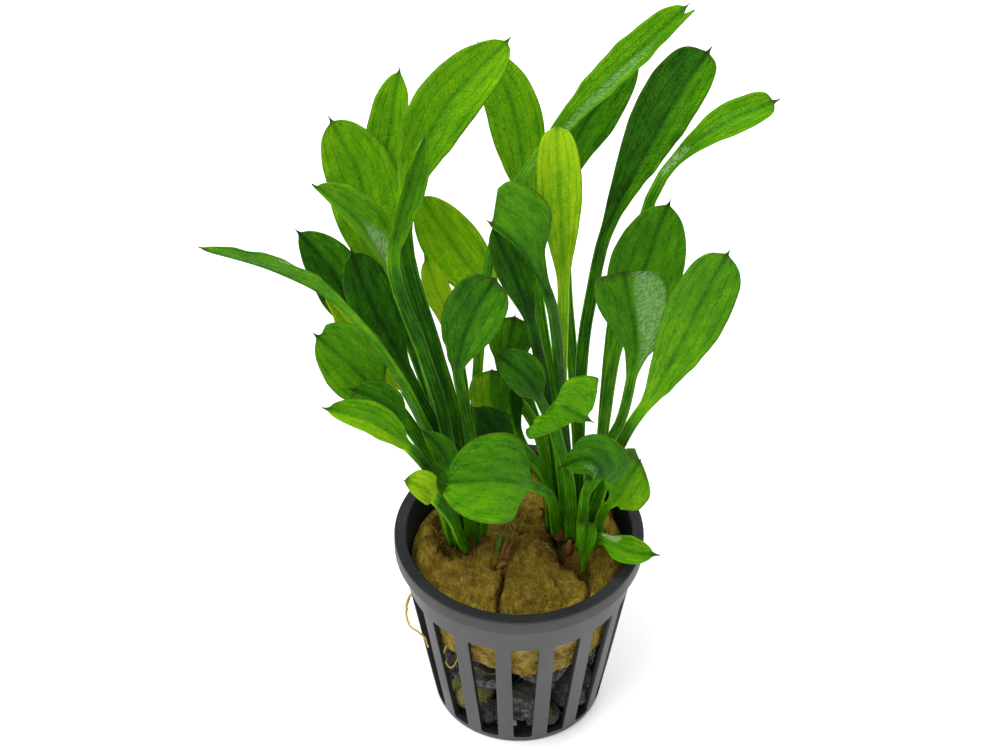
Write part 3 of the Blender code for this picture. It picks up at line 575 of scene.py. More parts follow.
def leaf_finish():
    """Green tissue: dark midrib band, parallel lateral veins, cross veins and fine net."""
    f = Finish("leaf_tissue", specular=0.07)
    layout = f.attribute("layout", "Vector")
    across, from_tip, share = f.split(layout)
    blade = f.attribute("blade")
    tone = f.attribute("tone")
    # painted reflection: the silvery sheen patches painted on the upper sides
    bloom = f.attribute("bloom")
    under = f.attribute("under")
    off = f.math("ABSOLUTE", across)
    off_share = f.math("ABSOLUTE", share)

    cloud = f.noise(f.place, 55.0, 3.0)
    grain = f.noise(f.stretch(layout, 1.0, 0.6, 0.0), 1.9, 5.0, 0.7)
    patch = f.noise(f.stretch(layout, 0.55, 0.16, 0.0), 1.0, 4.0, 0.6)
    streak = f.noise(f.stretch(layout, 2.6, 0.12, 0.0), 1.0, 3.0, 0.6)
    tone = f.vary(tone, cloud, 0.35)
    tone = f.vary(tone, patch, 0.65)
    tone = f.vary(tone, streak, 0.25)
    tone = f.vary(tone, grain, 0.42)

    # cross veins leave the midrib and lean towards the tip
    sway = f.noise(f.stretch(layout, 0.35, 0.35, 0.0), 1.0, 2.0)
    lean = f.minus(from_tip, f.times(off, -0.85))
    lean = f.plus(lean, f.times(sway, 1.3))
    wave = f.math("PINGPONG", f.times(lean, 0.42), 0.5)
    broken = f.step(f.noise(f.stretch(layout, 0.5, 0.4, 0.0), 1.0, 3.0, 0.6), 0.38, 0.62)
    cross = f.times(f.step(wave, 0.0, 0.10, 1.0, 0.0), broken)
    # lateral veins run from the leaf's foot to its tip, parallel with the margin
    wander = f.times(f.minus(sway, 0.5), 0.22)
    laterals = 0.0
    for where, wide in ((0.42, 0.045), (0.74, 0.035)):
        gap = f.math("ABSOLUTE", f.minus(f.plus(off_share, wander), where))
        laterals = f.math("MAXIMUM", laterals, f.step(gap, 0.0, wide, 1.0, 0.0))
    net = f.step(f.cells(f.stretch(layout, 0.9, 1.4, 0.0), 1.6), 0.0, 0.16, 1.0, 0.0)
    rib_noise = f.times(f.noise(f.stretch(layout, 1.5, 0.9, 0.0), 1.0, 3.0), 0.9)
    midrib = f.step(f.plus(off, rib_noise), 0.45, 1.35, 1.0, 0.0)
    margin = f.step(off_share, 0.93, 0.985)
    spike = f.step(from_tip, 0.5, 2.6, 1.0, 0.0)

    tone = f.minus(tone, f.times(f.times(midrib, blade), 0.20))
    tone = f.minus(tone, f.times(f.times(f.times(laterals, broken), blade), 0.08))
    tone = f.minus(tone, f.times(f.times(cross, blade), 0.05))
    tone = f.minus(tone, f.times(f.times(net, blade), 0.025))
    tone = f.plus(tone, f.times(under, 0.10))
    # petioles are streaked lengthways and paler at their edges
    fibre = f.noise(f.stretch(layout, 3.2, 0.05, 0.0), 1.0, 3.0)
    stalk = f.plus(f.times(f.minus(fibre, 0.5), 1.5),
                   f.step(off_share, 0.70, 1.0, 0.0, 0.30))
    stalk = f.times(stalk, f.minus(1.0, blade))
    tone = f.math("ADD", tone, stalk, clamp=True)

    green = f.ramp(tone,
                   (0.0, (0.006, 0.046, 0.0006)),
                   (0.25, (0.025, 0.130, 0.0007)),
                   (0.5, (0.068, 0.245, 0.0010)),
                   (0.75, (0.145, 0.360, 0.0014)),
                   (1.0, (0.300, 0.510, 0.0050)))
    green = f.mix(f.times(margin, 0.30), green, (0.12, 0.15, 0.006))
    green = f.mix(f.times(spike, 0.6), green, (0.030, 0.040, 0.004))
    # painted highlights: the painted sheen broken into short brush-like glints that lie along the cross
    # veins, and fine painted glints over every blade
    slant = f.node("CombineXYZ", f.times(lean, 3.4), f.times(across, 0.9))
    painted_glints = f.noise(slant, 1.0, 4.0, 0.65)
    painted_glints = f.times(bloom, f.step(painted_glints, 0.36, 0.66, 0.22, 1.0))
    painted_glints = f.times(painted_glints, f.minus(1.0, f.times(cross, 0.6)))
    glint = f.step(f.noise(slant, 1.3, 4.0, 0.7), 0.62, 0.76, 0.0, 0.22)
    painted_glints = f.math("MAXIMUM", painted_glints, f.times(glint, blade))
    glint_colour = f.mix(f.step(painted_glints, 0.05, 0.5), (0.10, 0.34, 0.02), (0.42, 0.58, 0.33))
    green = f.mix(painted_glints, green, glint_colour)
    f.set("Base Color", green)
    f.set("Roughness", f.step(cloud, 0.3, 0.7, 0.34, 0.5))
    f.set("Subsurface Weight", 0.18)
    f.set("Subsurface Radius", (0.6, 1.0, 0.15))
    f.set("Subsurface Scale", 0.0006)
    relief = f.plus(f.times(cross, -0.5), f.times(laterals, -0.8))
    relief = f.plus(relief, f.times(net, -0.35))
    relief = f.times(f.plus(relief, f.times(patch, 1.2)), blade)
    relief = f.plus(relief, f.times(fibre, 0.4))
    relief = f.plus(relief, f.times(grain, 0.9))
    f.bump(relief, 0.8, 0.00045)
    return f.material


def cup_finish():
    """Moulded plastic: matte, a little dusty, darker and speckled on the rim's top, and painted
    near-black inside as painted shade.
    """
    f = Finish("cup_plastic", specular=0.45)
    x, y, z = f.split(f.place)
    rim = f.step(z, 0.0493, 0.0497)
    collar = f.step(z, 0.0458, 0.0463)
    radius = f.math("SQRT", f.plus(f.times(x, x), f.times(y, y)))
    wall = f.plus(0.0194, f.times(z, 0.158))
    inside = f.step(f.minus(wall, radius), 0.0004, 0.0008)
    cloud = f.noise(f.stretch(f.place, 1.0, 1.0, 0.5), 90.0, 5.0, 0.6)
    grain = f.noise(f.place, 1500.0, 3.0)
    dust = f.step(f.noise(f.place, 900.0, 2.0, 0.6), 0.66, 0.74)
    shade = f.mix(cloud, (0.030, 0.031, 0.032), (0.050, 0.051, 0.052))
    shade = f.mix(f.times(collar, 0.45), shade, (0.008, 0.010, 0.010))
    shade = f.mix(rim, shade, f.mix(cloud, (0.004, 0.005, 0.005), (0.012, 0.013, 0.013)))
    # painted shade: the inside of the wall is painted near-black
    shade = f.mix(f.times(inside, 0.9), shade, (0.004, 0.004, 0.005))
    shade = f.mix(f.times(dust, 0.12), shade, (0.22, 0.21, 0.18))
    f.set("Base Color", shade)
    f.set("Roughness", f.step(cloud, 0.3, 0.7, 0.42, 0.58))
    f.bump(f.plus(f.times(grain, 0.4), cloud), 0.25, 0.00015)
    return f.material


def rim_finish():
    """The rim's top and the cup's inside: near-black, with pale specks of lime and dust; on the inside
    the near-black is painted shade.
    """
    f = Finish("cup_rim", roughness=0.6, specular=0.10)
    cloud = f.noise(f.place, 140.0, 5.0, 0.6)
    dust = f.step(f.noise(f.place, 1100.0, 2.0, 0.6), 0.68, 0.76, 0.0, 0.45)
    shade = f.mix(cloud, (0.006, 0.008, 0.008), (0.022, 0.024, 0.024))
    f.set("Base Color", f.mix(dust, shade, (0.16, 0.16, 0.14)))
    f.bump(cloud, 0.3, 0.00015)
    return f.material


def wool_finish():
    """Mineral wool, olive to golden brown, matted in streaks, with painted shade in its hollows and a
    painted shadow of the leaves around the crowns.
    """
    f = Finish("mineral_wool", roughness=0.9, specular=0.15)
    hollow_shade = f.attribute("hollow_shade")
    painted_leaf_shadow = f.attribute("painted_leaf_shadow")
    cloud = f.noise(f.place, 110.0, 4.0, 0.6, 0.8)
    warm = f.noise(f.place, 60.0, 2.0)
    clump = f.noise(f.place, 330.0, 5.0, 0.65, 1.2)
    mat = f.noise(f.stretch(f.place, 1.0, 0.35, 0.8), 900.0, 5.0, 0.7, 1.5)
    fine = f.noise(f.stretch(f.place, 0.4, 1.0, 0.8), 2300.0, 4.0, 0.7, 1.0)
    shade = f.ramp(f.plus(f.plus(f.times(mat, 0.45), f.times(cloud, 0.42)),
                          f.times(clump, 0.2)),
                   (0.38, (0.040, 0.022, 0.002)),
                   (0.50, (0.165, 0.105, 0.008)),
                   (0.59, (0.330, 0.235, 0.022)),
                   (0.70, (0.500, 0.380, 0.060)))
    shade = f.mix(f.step(warm, 0.45, 0.70, 0.0, 0.35), shade, (0.230, 0.100, 0.016))
    shade = f.mix(f.step(fine, 0.60, 0.80, 0.0, 0.35), shade, (0.50, 0.38, 0.12))
    height = f.split(f.place)[2]
    pale = f.times(f.step(height, 0.038, 0.043, 1.0, 0.0), f.step(clump, 0.42, 0.58, 0.05, 0.6))
    shade = f.mix(pale, shade, (0.42, 0.33, 0.09))
    # painted shadow: the wool under the leaves, around the crowns, is painted darker
    shade = f.mix(f.times(painted_leaf_shadow, 0.75), shade, (0.060, 0.034, 0.004))
    # painted shade: the hollows in the wool's top are painted dark
    shade = f.mix(f.times(hollow_shade, 0.9), shade, (0.022, 0.012, 0.003))
    f.set("Base Color", shade)
    rough = f.plus(mat, f.times(fine, 0.5))
    f.bump(f.plus(rough, f.times(clump, 1.5)), 1.0, 0.0009)
    return f.material


def fibre_finish():
    f = Finish("wool_fibre", roughness=0.8, specular=0.2)
    tint = f.noise(f.place, 400.0, 3.0)
    f.set("Base Color", f.ramp(tint,
                               (0.30, (0.100, 0.060, 0.004)),
                               (0.50, (0.240, 0.165, 0.014)),
                               (0.70, (0.440, 0.340, 0.060))))
    return f.material


def stone_finish(name, low, high, algae):
    """Porous lava or a pebble, with paler faces and a green-gold film in places."""
    f = Finish(name, roughness=0.85, specular=0.25)
    cloud = f.noise(f.place, 160.0, 5.0, 0.65)
    pores = f.step(f.noise(f.place, 1500.0, 4.0, 0.75), 0.30, 0.46, 0.3, 1.0)
    film = f.step(f.noise(f.place, 120.0, 3.0), 0.55, 0.68, 0.0, algae)
    chalk = f.step(f.noise(f.place, 210.0, 5.0, 0.7), 0.50, 0.64, 0.0, 0.7)
    shade = f.mix(f.step(cloud, 0.35, 0.68), low, high)
    shade = f.mix(chalk, shade, tuple(min(c * 3.5, 0.3) for c in high))
    shade = f.mix(film, shade, (0.17, 0.16, 0.012))
    shade = f.mix(pores, tuple(c * 0.25 for c in low), shade)
    f.set("Base Color", shade)
    f.bump(f.plus(f.times(pores, 0.7), cloud), 0.9, 0.0006)
    return f.material


def bark_finish(name, dark, light):
    """Sheaths, roots and dead scraps: streaked brown."""
    f = Finish(name, roughness=0.75, specular=0.2)
    streak = f.noise(f.stretch(f.place, 1.0, 1.0, 0.22), 260.0, 5.0, 0.65)
    f.set("Base Color", f.ramp(streak, (0.32, dark), (0.66, light)))
    f.bump(streak, 0.7, 0.0003)
    return f.material


# ---------------------------------------------------------------- cup
def wall_radius(z):
    top = LIP_RADIUS - COLLAR_STEP
    return BASE_RADIUS + (top - BASE_RADIUS) * z / CUP_HEIGHT


def polar(radius, turn, z):
    return (radius * math.cos(turn), radius * math.sin(turn), z)


def rounded_outline(corners, radius, steps=4):
    """Corner points of a polygon with each corner turned into an arc."""
    outline = []
    count = len(corners)
    for i, corner in enumerate(corners):
        corner = Vector(corner)
        before = (Vector(corners[i - 1]) - corner).normalized()
        after = (Vector(corners[(i + 1) % count]) - corner).normalized()
        for k in range(steps + 1):
            t = k / steps
            a = corner + before * radius * (1 - t)
            b = corner + after * radius * t
            outline.append(a.lerp(b, t))
    return outline


def slot_cutters():
    parts = []
    low, high = ((wall_radius(z) * 2 * math.pi / SLOTS - RIB) / 2 for z in (SLOT_FOOT, SLOT_TOP))
    outline = rounded_outline(((-low, SLOT_FOOT), (low, SLOT_FOOT),
                               (high, SLOT_TOP), (-high, SLOT_TOP)), 0.7)
    for index in range(SLOTS):
        turn = math.radians(index * 360 / SLOTS - 90 + SLOT_TURN)
        prism = []
        for offset in (-3 * WALL, 2 * WALL):
            for a, z in outline:
                r = wall_radius(z) + offset
                prism.append((r * math.cos(turn) - a * math.sin(turn),
                              r * math.sin(turn) + a * math.cos(turn), z))
        parts.append((prism, ring_faces(2, len(outline))))
    return parts


def floor_cutters():
    parts = []
    for index in range(SPOKES):
        middle = math.radians((index + 0.5) * 360 / SPOKES - 90 + SLOT_TURN)
        outline = []
        for radius, order in ((FLOOR_HUB, 1), (FLOOR_RING, -1)):
            reach = math.pi / SPOKES - math.asin(SPOKE / 2 / radius)
            outline += [(radius, middle + order * reach * (k / 4 - 1)) for k in range(9)]
        prism = [polar(r, t, z) for z in (-FLOOR, 2 * FLOOR) for r, t in outline]
        parts.append((prism, ring_faces(2, len(outline))))
    return parts


def build_cup(material, rim_material):
    lip_inner = LIP_RADIUS - LIP_WIDTH
    under = CUP_HEIGHT - COLLAR_HEIGHT
    profile = (
        (0.0, 0.0), (BASE_RADIUS - 0.6, 0.0), (BASE_RADIUS - 0.2, 0.15), (BASE_RADIUS, 0.6),
        (wall_radius(12), 12.0), (wall_radius(25), 25.0), (wall_radius(SLOT_TOP), SLOT_TOP),
        (wall_radius(under) - 0.05, under - 0.15), (wall_radius(under) + 0.1, under),
        (LIP_RADIUS - 0.25, under + 0.1), (LIP_RADIUS, under + 0.35),
        (LIP_RADIUS, CUP_HEIGHT - 0.5), (LIP_RADIUS - 0.15, CUP_HEIGHT - 0.15),
        (LIP_RADIUS - 0.5, CUP_HEIGHT), (LIP_RADIUS - 1.3, CUP_HEIGHT - 0.06),
        (lip_inner + 0.3, CUP_HEIGHT), (lip_inner + 0.05, CUP_HEIGHT - 0.15),
        (lip_inner, CUP_HEIGHT - 1.4), (wall_radius(under) - WALL, under - 1.2),
        (wall_radius(SLOT_TOP) - WALL, SLOT_TOP), (wall_radius(12) - WALL, 12.0),
        (wall_radius(FLOOR) - WALL - 0.3, FLOOR + 0.3), (wall_radius(FLOOR) - WALL - 0.8, FLOOR),
        (0.0, FLOOR),
    )
    work = bmesh.new()
    line = [work.verts.new((r, 0.0, z)) for r, z in profile]
    edges = [work.edges.new(pair) for pair in zip(line, line[1:])]
    bmesh.ops.spin(work, geom=line + edges, axis=(0, 0, 1), cent=(0, 0, 0),
                   angle=2 * math.pi, steps=192, use_merge=True)
    bmesh.ops.remove_doubles(work, verts=work.verts, dist=1e-4)
    bmesh.ops.recalc_face_normals(work, faces=work.faces)
    bmesh.ops.scale(work, vec=(MM, MM, MM), verts=work.verts)
    cup = finish_mesh(work, "cup", material)
    cutters = []
    for parts in (slot_cutters(), floor_cutters()):
        cutter = join("cutter", parts, material, smooth=False)
        work = bmesh.new()
        work.from_mesh(cutter.data)
        bmesh.ops.recalc_face_normals(work, faces=work.faces)
        work.to_mesh(cutter.data)
        work.free()
        step = cup.modifiers.new("cut", "BOOLEAN")
        step.operation = "DIFFERENCE"
        step.solver = "EXACT"
        step.object = cutter
        cutters.append(cutter)
    soften = cup.modifiers.new("soften", "BEVEL")
    soften.width = 0.14 * MM
    soften.segments = 2
    soften.limit_method = "ANGLE"
    soften.angle_limit = math.radians(50)
    graph = bpy.context.evaluated_depsgraph_get()
    finished = bpy.data.meshes.new_from_object(cup.evaluated_get(graph))
    cup.modifiers.clear()
    cup.data = finished
    for cutter in cutters:
        bpy.data.objects.remove(cutter, do_unlink=True)
    finished.shade_smooth()
    finished.set_sharp_from_angle(angle=math.radians(32))
    finished.materials.append(rim_material)
    # the rim's top and the inside take the near-black rim material; on the inside that near-black is
    # painted shade
    for face in finished.polygons:
        middle = face.center / MM
        out = math.hypot(middle.x, middle.y)
        inside = out < wall_radius(min(middle.z, CUP_HEIGHT - COLLAR_HEIGHT)) - 0.6
        if middle.z > CUP_HEIGHT - 0.25 or (inside and middle.z > FLOOR - 0.2):
            face.material_index = 1
    return cup


# ---------------------------------------------------------------- wool
def fractal(points, scale, octaves, shift=0.0):
    return np.array([noise.fractal(Vector((p[0] * scale + shift, p[1] * scale, p[2] * scale)),
                                   0.9, 2.1, octaves) for p in points])


# Hollows in the wool's top: line (mm), half width and depth. A depth below zero is a lobe.
HOLLOWS = (
    (((-17.4, 9.5), (-16.6, 3.0), (-15.0, -1.4)), 2.6, 6.5),
    (((-4.4, -23.0), (-4.7, -18.0), (-3.6, -12.0), (-3.4, -8.0)), 0.55, 3.6),
    (((-4.6, -6.6), (-4.0, -5.6)), 1.7, 3.0),
    (((-3.6, -5.0), (-0.5, 1.0), (2.5, 6.5)), 1.3, 0.9),
    (((8.2, 9.0), (8.6, 2.0), (10.4, -4.0), (15.0, -8.4)), 1.5, 6.0),
    (((15.0, -8.4), (15.6, -13.4), (14.6, -18.0)), 0.5, 2.2),
    (((7.0, -11.0), (9.0, -14.0), (10.6, -18.0)), 0.6, 1.5),
    (((-18.0, -8.0), (-13.0, -10.0), (-8.0, -9.0)), 0.8, 0.8),
    (((19.0, 10.0), (20.4, 2.0), (20.0, -4.0)), 3.2, -2.2),
    (((-18.5, -3.0), (-18.0, -9.0)), 3.0, -0.9),
    (((0.0, -14.0), (4.0, -15.0)), 3.2, -1.0),
    (((-10.0, -14.0), (-8.0, -15.0)), 3.0, -0.8),
)


def line_distance(x, y, line):
    """Distance from points to a line of short straight parts."""
    nearest = np.full(x.shape, 1e9)
    for (ax, ay), (bx, by) in zip(line, line[1:]):
        t = ((x - ax) * (bx - ax) + (y - ay) * (by - ay)) / ((bx - ax) ** 2 + (by - ay) ** 2)
        t = np.clip(t, 0.0, 1.0)
        nearest = np.minimum(nearest, np.hypot(x - ax - t * (bx - ax), y - ay - t * (by - ay)))
    return nearest


def wool_surface(points):
    """Height of the wool's top at points (mm), and how deep in a hollow each one is."""
    x, y = points[:, 0], points[:, 1]
    flat = np.stack([x, y, 0 * x], axis=-1)
    height = WOOL_TOP - 0.1 + 1.9 * fractal(flat, 0.13, 3) + 1.05 * fractal(flat, 0.36, 4, 7.0)
    height += 0.22 * np.abs(fractal(flat, 1.3, 4, 3.0))
    sunk = 0 * x
    ragged = 1 + 0.5 * fractal(flat, 0.9, 3, 11.0)
    for line, width, depth in HOLLOWS:
        near = np.exp(-(line_distance(x, y, line) / (width * np.clip(ragged, 0.4, 1.8))) ** 2)
        height -= depth * near
        if depth > 0:
            sunk = np.maximum(sunk, near * min(depth / 3.0, 1.0))
    return height, sunk


WOOL_TURNS = 240
WOOL_TOP_RINGS = 96
WOOL_SIDE_RINGS = 36
WOOL_UNDER_RINGS = 12


def build_wool(material):
    turns = np.arange(WOOL_TURNS) * 2 * math.pi / WOOL_TURNS
    gap = 0.7 + 1.4 * np.exp(-((turns - 2.9) / 0.5) ** 2) + 1.2 * np.exp(-((turns - 0.15) / 0.35) ** 2)
    gap = gap + 1.2 * np.exp(-((turns - 0.15 - 2 * math.pi) / 0.35) ** 2)
    circle = np.stack([np.cos(turns), np.sin(turns), 0 * turns], axis=-1)
    base = WOOL_BASE - 1.5 + 1.7 * np.sin(3 * turns + 1.0) + 1.0 * np.sin(5 * turns)
    base = base + 1.3 * fractal(circle * 22, 0.25, 4)
    rings = []
    sunk = []
    side_low = wall_radius(base) - WALL - gap - 1.0
    for i in range(WOOL_UNDER_RINGS):
        share = 0.04 + 0.94 * i / WOOL_UNDER_RINGS
        ring = circle * (side_low * share)[:, None]
        ring[:, 2] = base - 0.6 + 1.2 * share ** 6 + 0.9 * fractal(ring, 0.4, 4, 5.0)
        rings.append(ring)
        sunk.append(0.35 + 0 * turns)
    top_edge = WOOL_TOP - 3.0
    for i in range(WOOL_SIDE_RINGS + 1):
        level = i / WOOL_SIDE_RINGS
        z = base + 0.6 + (top_edge - base - 0.6) * level
        radius = wall_radius(z) - WALL - 0.3 - (gap - 0.3) * ease(level, 0.93, 1.0)
        ring = circle * radius[:, None]
        ring[:, 2] = z
        rough = 0.5 - 0.38 * ease(level, 0.45, 0.6)
        radius = radius - rough * (1 + fractal(ring, 0.35, 4, 2.0)) - 1.2 * (1 - ease(level, 0.0, 0.12))
        ring = circle * radius[:, None]
        ring[:, 2] = z
        rings.append(ring)
        sunk.append(0.0 * turns)
    rim = rings[-1]
    for i in range(1, WOOL_TOP_RINGS):
        share = 1 - i / WOOL_TOP_RINGS
        ring = rim * share
        height, deep = wool_surface(ring)
        shoulder = np.sqrt(np.clip(1 - ((share - 0.86) / 0.14) ** 2, 0.0, 1.0)) if share > 0.86 else 1.0
        ring[:, 2] = rim[:, 2] + (height - rim[:, 2]) * shoulder
        rings.append(ring)
        sunk.append(deep)
    points = np.concatenate(rings)
    obj = add_object("wool", points, ring_faces(len(rings), WOOL_TURNS), material)
    # how deep each point lies in a hollow, which the wool's material paints as shade
    paint(obj, "hollow_shade", np.concatenate(sunk))
    x, y, z = points.T
    # painted shadow: a band through the crowns where the leaves shade the wool, faded in just below the
    # top
    leaf_shadow_band = np.exp(-(line_distance(x, y, ((-9.0, 4.0), (3.0, 4.0), (9.0, 2.0))) / 5.5) ** 2)
    leaf_shadow_band = leaf_shadow_band * np.clip(0.8 + 0.9 * fractal(points, 0.3, 4, 9.0), 0.2, 1.2)
    paint(obj, "painted_leaf_shadow", np.clip(leaf_shadow_band, 0.0, 1.0) * ease(z, 43.0, 45.0))
    return obj


def tube(points, radii, sides):
    """Vertices and faces of a closed tube along a line of points (mm)."""
    line = np.asarray(points, dtype=float)
    ahead = unit(np.gradient(line, axis=0))
    helper = np.array([0.0, 0.0, 1.0]) if abs(ahead[0][2]) < 0.9 else np.array([1.0, 0.0, 0.0])
    side = unit(np.cross(ahead, helper))
    other = np.cross(ahead, side)
    turn = np.arange(sides) * 2 * math.pi / sides
    r = np.asarray(radii, dtype=float)[:, None, None]
    verts = (line[:, None, :] + side[:, None, :] * np.cos(turn)[None, :, None] * r
             + other[:, None, :] * np.sin(turn)[None, :, None] * r)
    return verts.reshape(-1, 3), ring_faces(len(line), sides)


def join(name, parts, material, smooth=True):
    """One object from separate closed shells."""
    points, faces, first = [], [], 0
    for verts, part_faces in parts:
        points.append(verts)
        faces += [tuple(first + k for k in face) for face in part_faces]
        first += len(verts)
    return add_object(name, np.concatenate(points), faces, material, smooth)


FIBRES_ON_TOP = 4200
FIBRES_ON_SIDE = 700


def build_fibres(material):
    """Loose strands lying on the wool's top and standing from its side."""
    rng = np.random.default_rng(7)
    steps = np.linspace(-0.5, 0.5, 6)
    arch = 1 - 4 * steps ** 2
    slim = 1 - 1.3 * steps ** 2
    parts = []
    for _ in range(FIBRES_ON_TOP):
        radius = 23.4 * math.sqrt(rng.random())
        turn = rng.random() * 2 * math.pi
        heading = rng.random() * 2 * math.pi
        reach = rng.uniform(0.8, 3.0)
        curl = rng.normal(0, 0.5)
        x = radius * math.cos(turn) + reach * steps * np.cos(heading + curl * steps)
        y = radius * math.sin(turn) + reach * steps * np.sin(heading + curl * steps)
        if np.hypot(x, y).max() >= 23.2:
            continue
        line = np.stack([x, y, 0 * x], axis=-1)
        height = wool_surface(line)[0]
        line[:, 2] = height - 1.6 * ease(np.hypot(x, y), 20.5, 24.5) + rng.uniform(-0.06, 0.06)
        line[:, 2] += 0.14 * rng.random() * arch
        parts.append(tube(line, 0.036 * slim * rng.uniform(0.7, 1.4), 3))
    for _ in range(FIBRES_ON_SIDE):
        turn = rng.random() * 2 * math.pi
        z = rng.uniform(24.5, 41.0)
        reach = rng.uniform(1.0, 3.6)
        slant = rng.normal(0, 0.8)
        heights = z + reach * steps * math.sin(slant)
        turns = turn + reach * steps * math.cos(slant) / 22.0
        radius = wall_radius(heights) - WALL - 0.95 + 0.2 * rng.random() + 0.25 * arch
        line = np.stack([radius * np.cos(turns), radius * np.sin(turns), heights], axis=-1)
        parts.append(tube(line, 0.06 * slim, 3))
    return join("wool_fibres", parts, material)


# ---------------------------------------------------------------- stones, crowns, roots
STONES = (
    ("stone_front", (1.0, -12.4, 6.4), (5.4, 4.2, 4.6), 10),
    ("stone_front_right", (11.0, -8.2, 6.2), (4.6, 5.2, 4.4), 40),
    ("stone_right", (12.9, 2.6, 6.6), (4.2, 5.0, 4.8), 80),
    ("stone_back_right", (6.8, 11.4, 6.3), (5.4, 4.6, 4.4), 20),
    ("stone_back_left", (-5.6, 12.0, 6.5), (5.2, 4.4, 4.6), 160),
    ("stone_left", (-13.0, 3.4, 6.2), (4.2, 4.8, 4.2), 100),
    ("stone_front_left", (-6.6, -11.4, 15.0), (4.8, 4.0, 3.4), 15),
    ("stone_middle", (0.2, 0.4, 6.0), (5.6, 5.2, 4.2), 60),
    ("stone_upper_front", (5.6, -9.0, 16.0), (6.0, 5.0, 4.4), 25),
    ("stone_upper_right", (10.8, 3.8, 16.4), (5.4, 5.2, 4.2), 75),
    ("stone_upper_back", (-1.0, 10.4, 16.2), (6.2, 4.8, 4.4), 5),
    ("stone_upper_left", (-11.4, 1.6, 15.6), (5.2, 4.6, 4.2), 115),
    ("pebble_olive", (-10.2, -8.4, 6.4), (4.6, 5.0, 4.4), 130),
)

STONE_SWELL = 1.13           # makes up for what the lumps take away
# Chips of lava that fill the cup's foot between the stones.
CHIPS = (
    ("chip_left", (-6.6, -13.6, 4.2), (3.2, 2.7, 2.9), 20),
    ("chip_right", (6.4, -14.0, 4.0), (3.1, 2.6, 2.8), -15),
    ("chip_far_right", (14.6, -3.2, 4.2), (2.6, 3.2, 2.8), 10),
    ("chip_far_left", (-15.0, -2.6, 4.0), (2.4, 3.0, 2.7), -10),
    ("chip_upper_left", (-13.0, -8.6, 14.6), (2.8, 3.0, 2.6), 30),
    ("chip_upper_right", (13.6, -4.6, 14.4), (3.0, 3.4, 2.8), 55),
)


def build_stone(name, middle, radii, turn, material):
    """A rough lump: broad chipped faces and fine pores, or a smooth pebble."""
    pebble = name.startswith("pebble")
    work = bmesh.new()
    bmesh.ops.create_icosphere(work, subdivisions=5, radius=1.0)
    spin = math.radians(turn)
    phase = Vector((sum(middle), middle[0], middle[1]))
    for vert in work.verts:
        p = vert.co.copy()
        lump = 1.0 - 0.10 * abs(noise.fractal(p * 1.6 + phase, 0.8, 2.0, 3))
        if not pebble:
            facets = noise.voronoi(p * 1.9 + phase)[0]
            lump *= 0.92 + 0.16 * min(facets[1] - facets[0], 0.5)
            lump -= 0.07 * abs(noise.fractal(p * 5.0 + phase, 0.6, 2.2, 5))
        x, y, z = (c * r * lump * STONE_SWELL for c, r in zip(p, radii))
        vert.co = ((middle[0] + x * math.cos(spin) - y * math.sin(spin)) * MM,
                   (middle[1] + x * math.sin(spin) + y * math.cos(spin)) * MM,
                   (middle[2] + z) * MM)
    return finish_mesh(work, name + "_rough", material)


def scale_shell(foot, turn, height, width, lean, curl):
    """A sheath scale: a thin curved strip that hugs the petioles and tapers to a torn tip."""
    steps = np.linspace(0.0, 1.0, 12)
    across = np.linspace(-1.0, 1.0, 7)
    outward = np.array([math.cos(turn), math.sin(turn), 0.0])
    sideways = np.array([-math.sin(turn), math.cos(turn), 0.0])
    verts = []
    for t in steps:
        half = width / 2 * (1 - 0.75 * t ** 2.2) + 0.05
        middle = np.array(foot) + outward * lean * height * t ** 1.5 + np.array([0, 0, height * t])
        for layer, order in ((1, across), (0, across[-2:0:-1])):
            for a in order:
                wrap = -curl * half * a * a
                thick = 0.11 * layer * (1 - a * a)
                torn = 0.35 * math.sin(9 * a + turn * 5) * t ** 3
                rise = np.array([0, 0, torn])
                verts.append(middle + sideways * half * a + outward * (wrap + thick) + rise)
    return np.array(verts), ring_faces(len(steps), 2 * len(across) - 2)


def build_crown(side, material):
    """Short rootstock under a ring of old brown sheath scales."""
    x, y = CROWNS[side]
    rng = np.random.default_rng(len(side))
    parts = []
    rings = []
    for share, rise in ((0.80, -1.2), (0.86, 0.2), (0.80, 1.2), (0.62, 1.9), (0.38, 2.3), (0.1, 2.4)):
        turns = np.arange(48) * 2 * math.pi / 48
        ring = np.stack([np.cos(turns), np.sin(turns), 0 * turns], axis=-1) * 5.4 * share
        ring = ring * (1 + 0.16 * fractal(ring + x, 0.5, 3))[:, None]
        ring[:, 2] = WOOL_TOP + rise + 0.3 * fractal(ring, 0.7, 3, x)
        rings.append(ring + np.array([x, y, 0.0]))
    parts.append((np.concatenate(rings), ring_faces(len(rings), 48)))
    for i in range(15):
        turn = i * 2 * math.pi / 15 + rng.uniform(-0.15, 0.15)
        radius = rng.uniform(3.4, 5.2)
        foot = (x + radius * math.cos(turn), y + radius * math.sin(turn), WOOL_TOP - 1.2)
        parts.append(scale_shell(foot, turn, rng.uniform(2.6, 5.2), rng.uniform(2.2, 3.6),
                                 rng.uniform(-0.10, 0.25), 0.35))
    return join("crown_" + side + "_sheaths", parts, material)


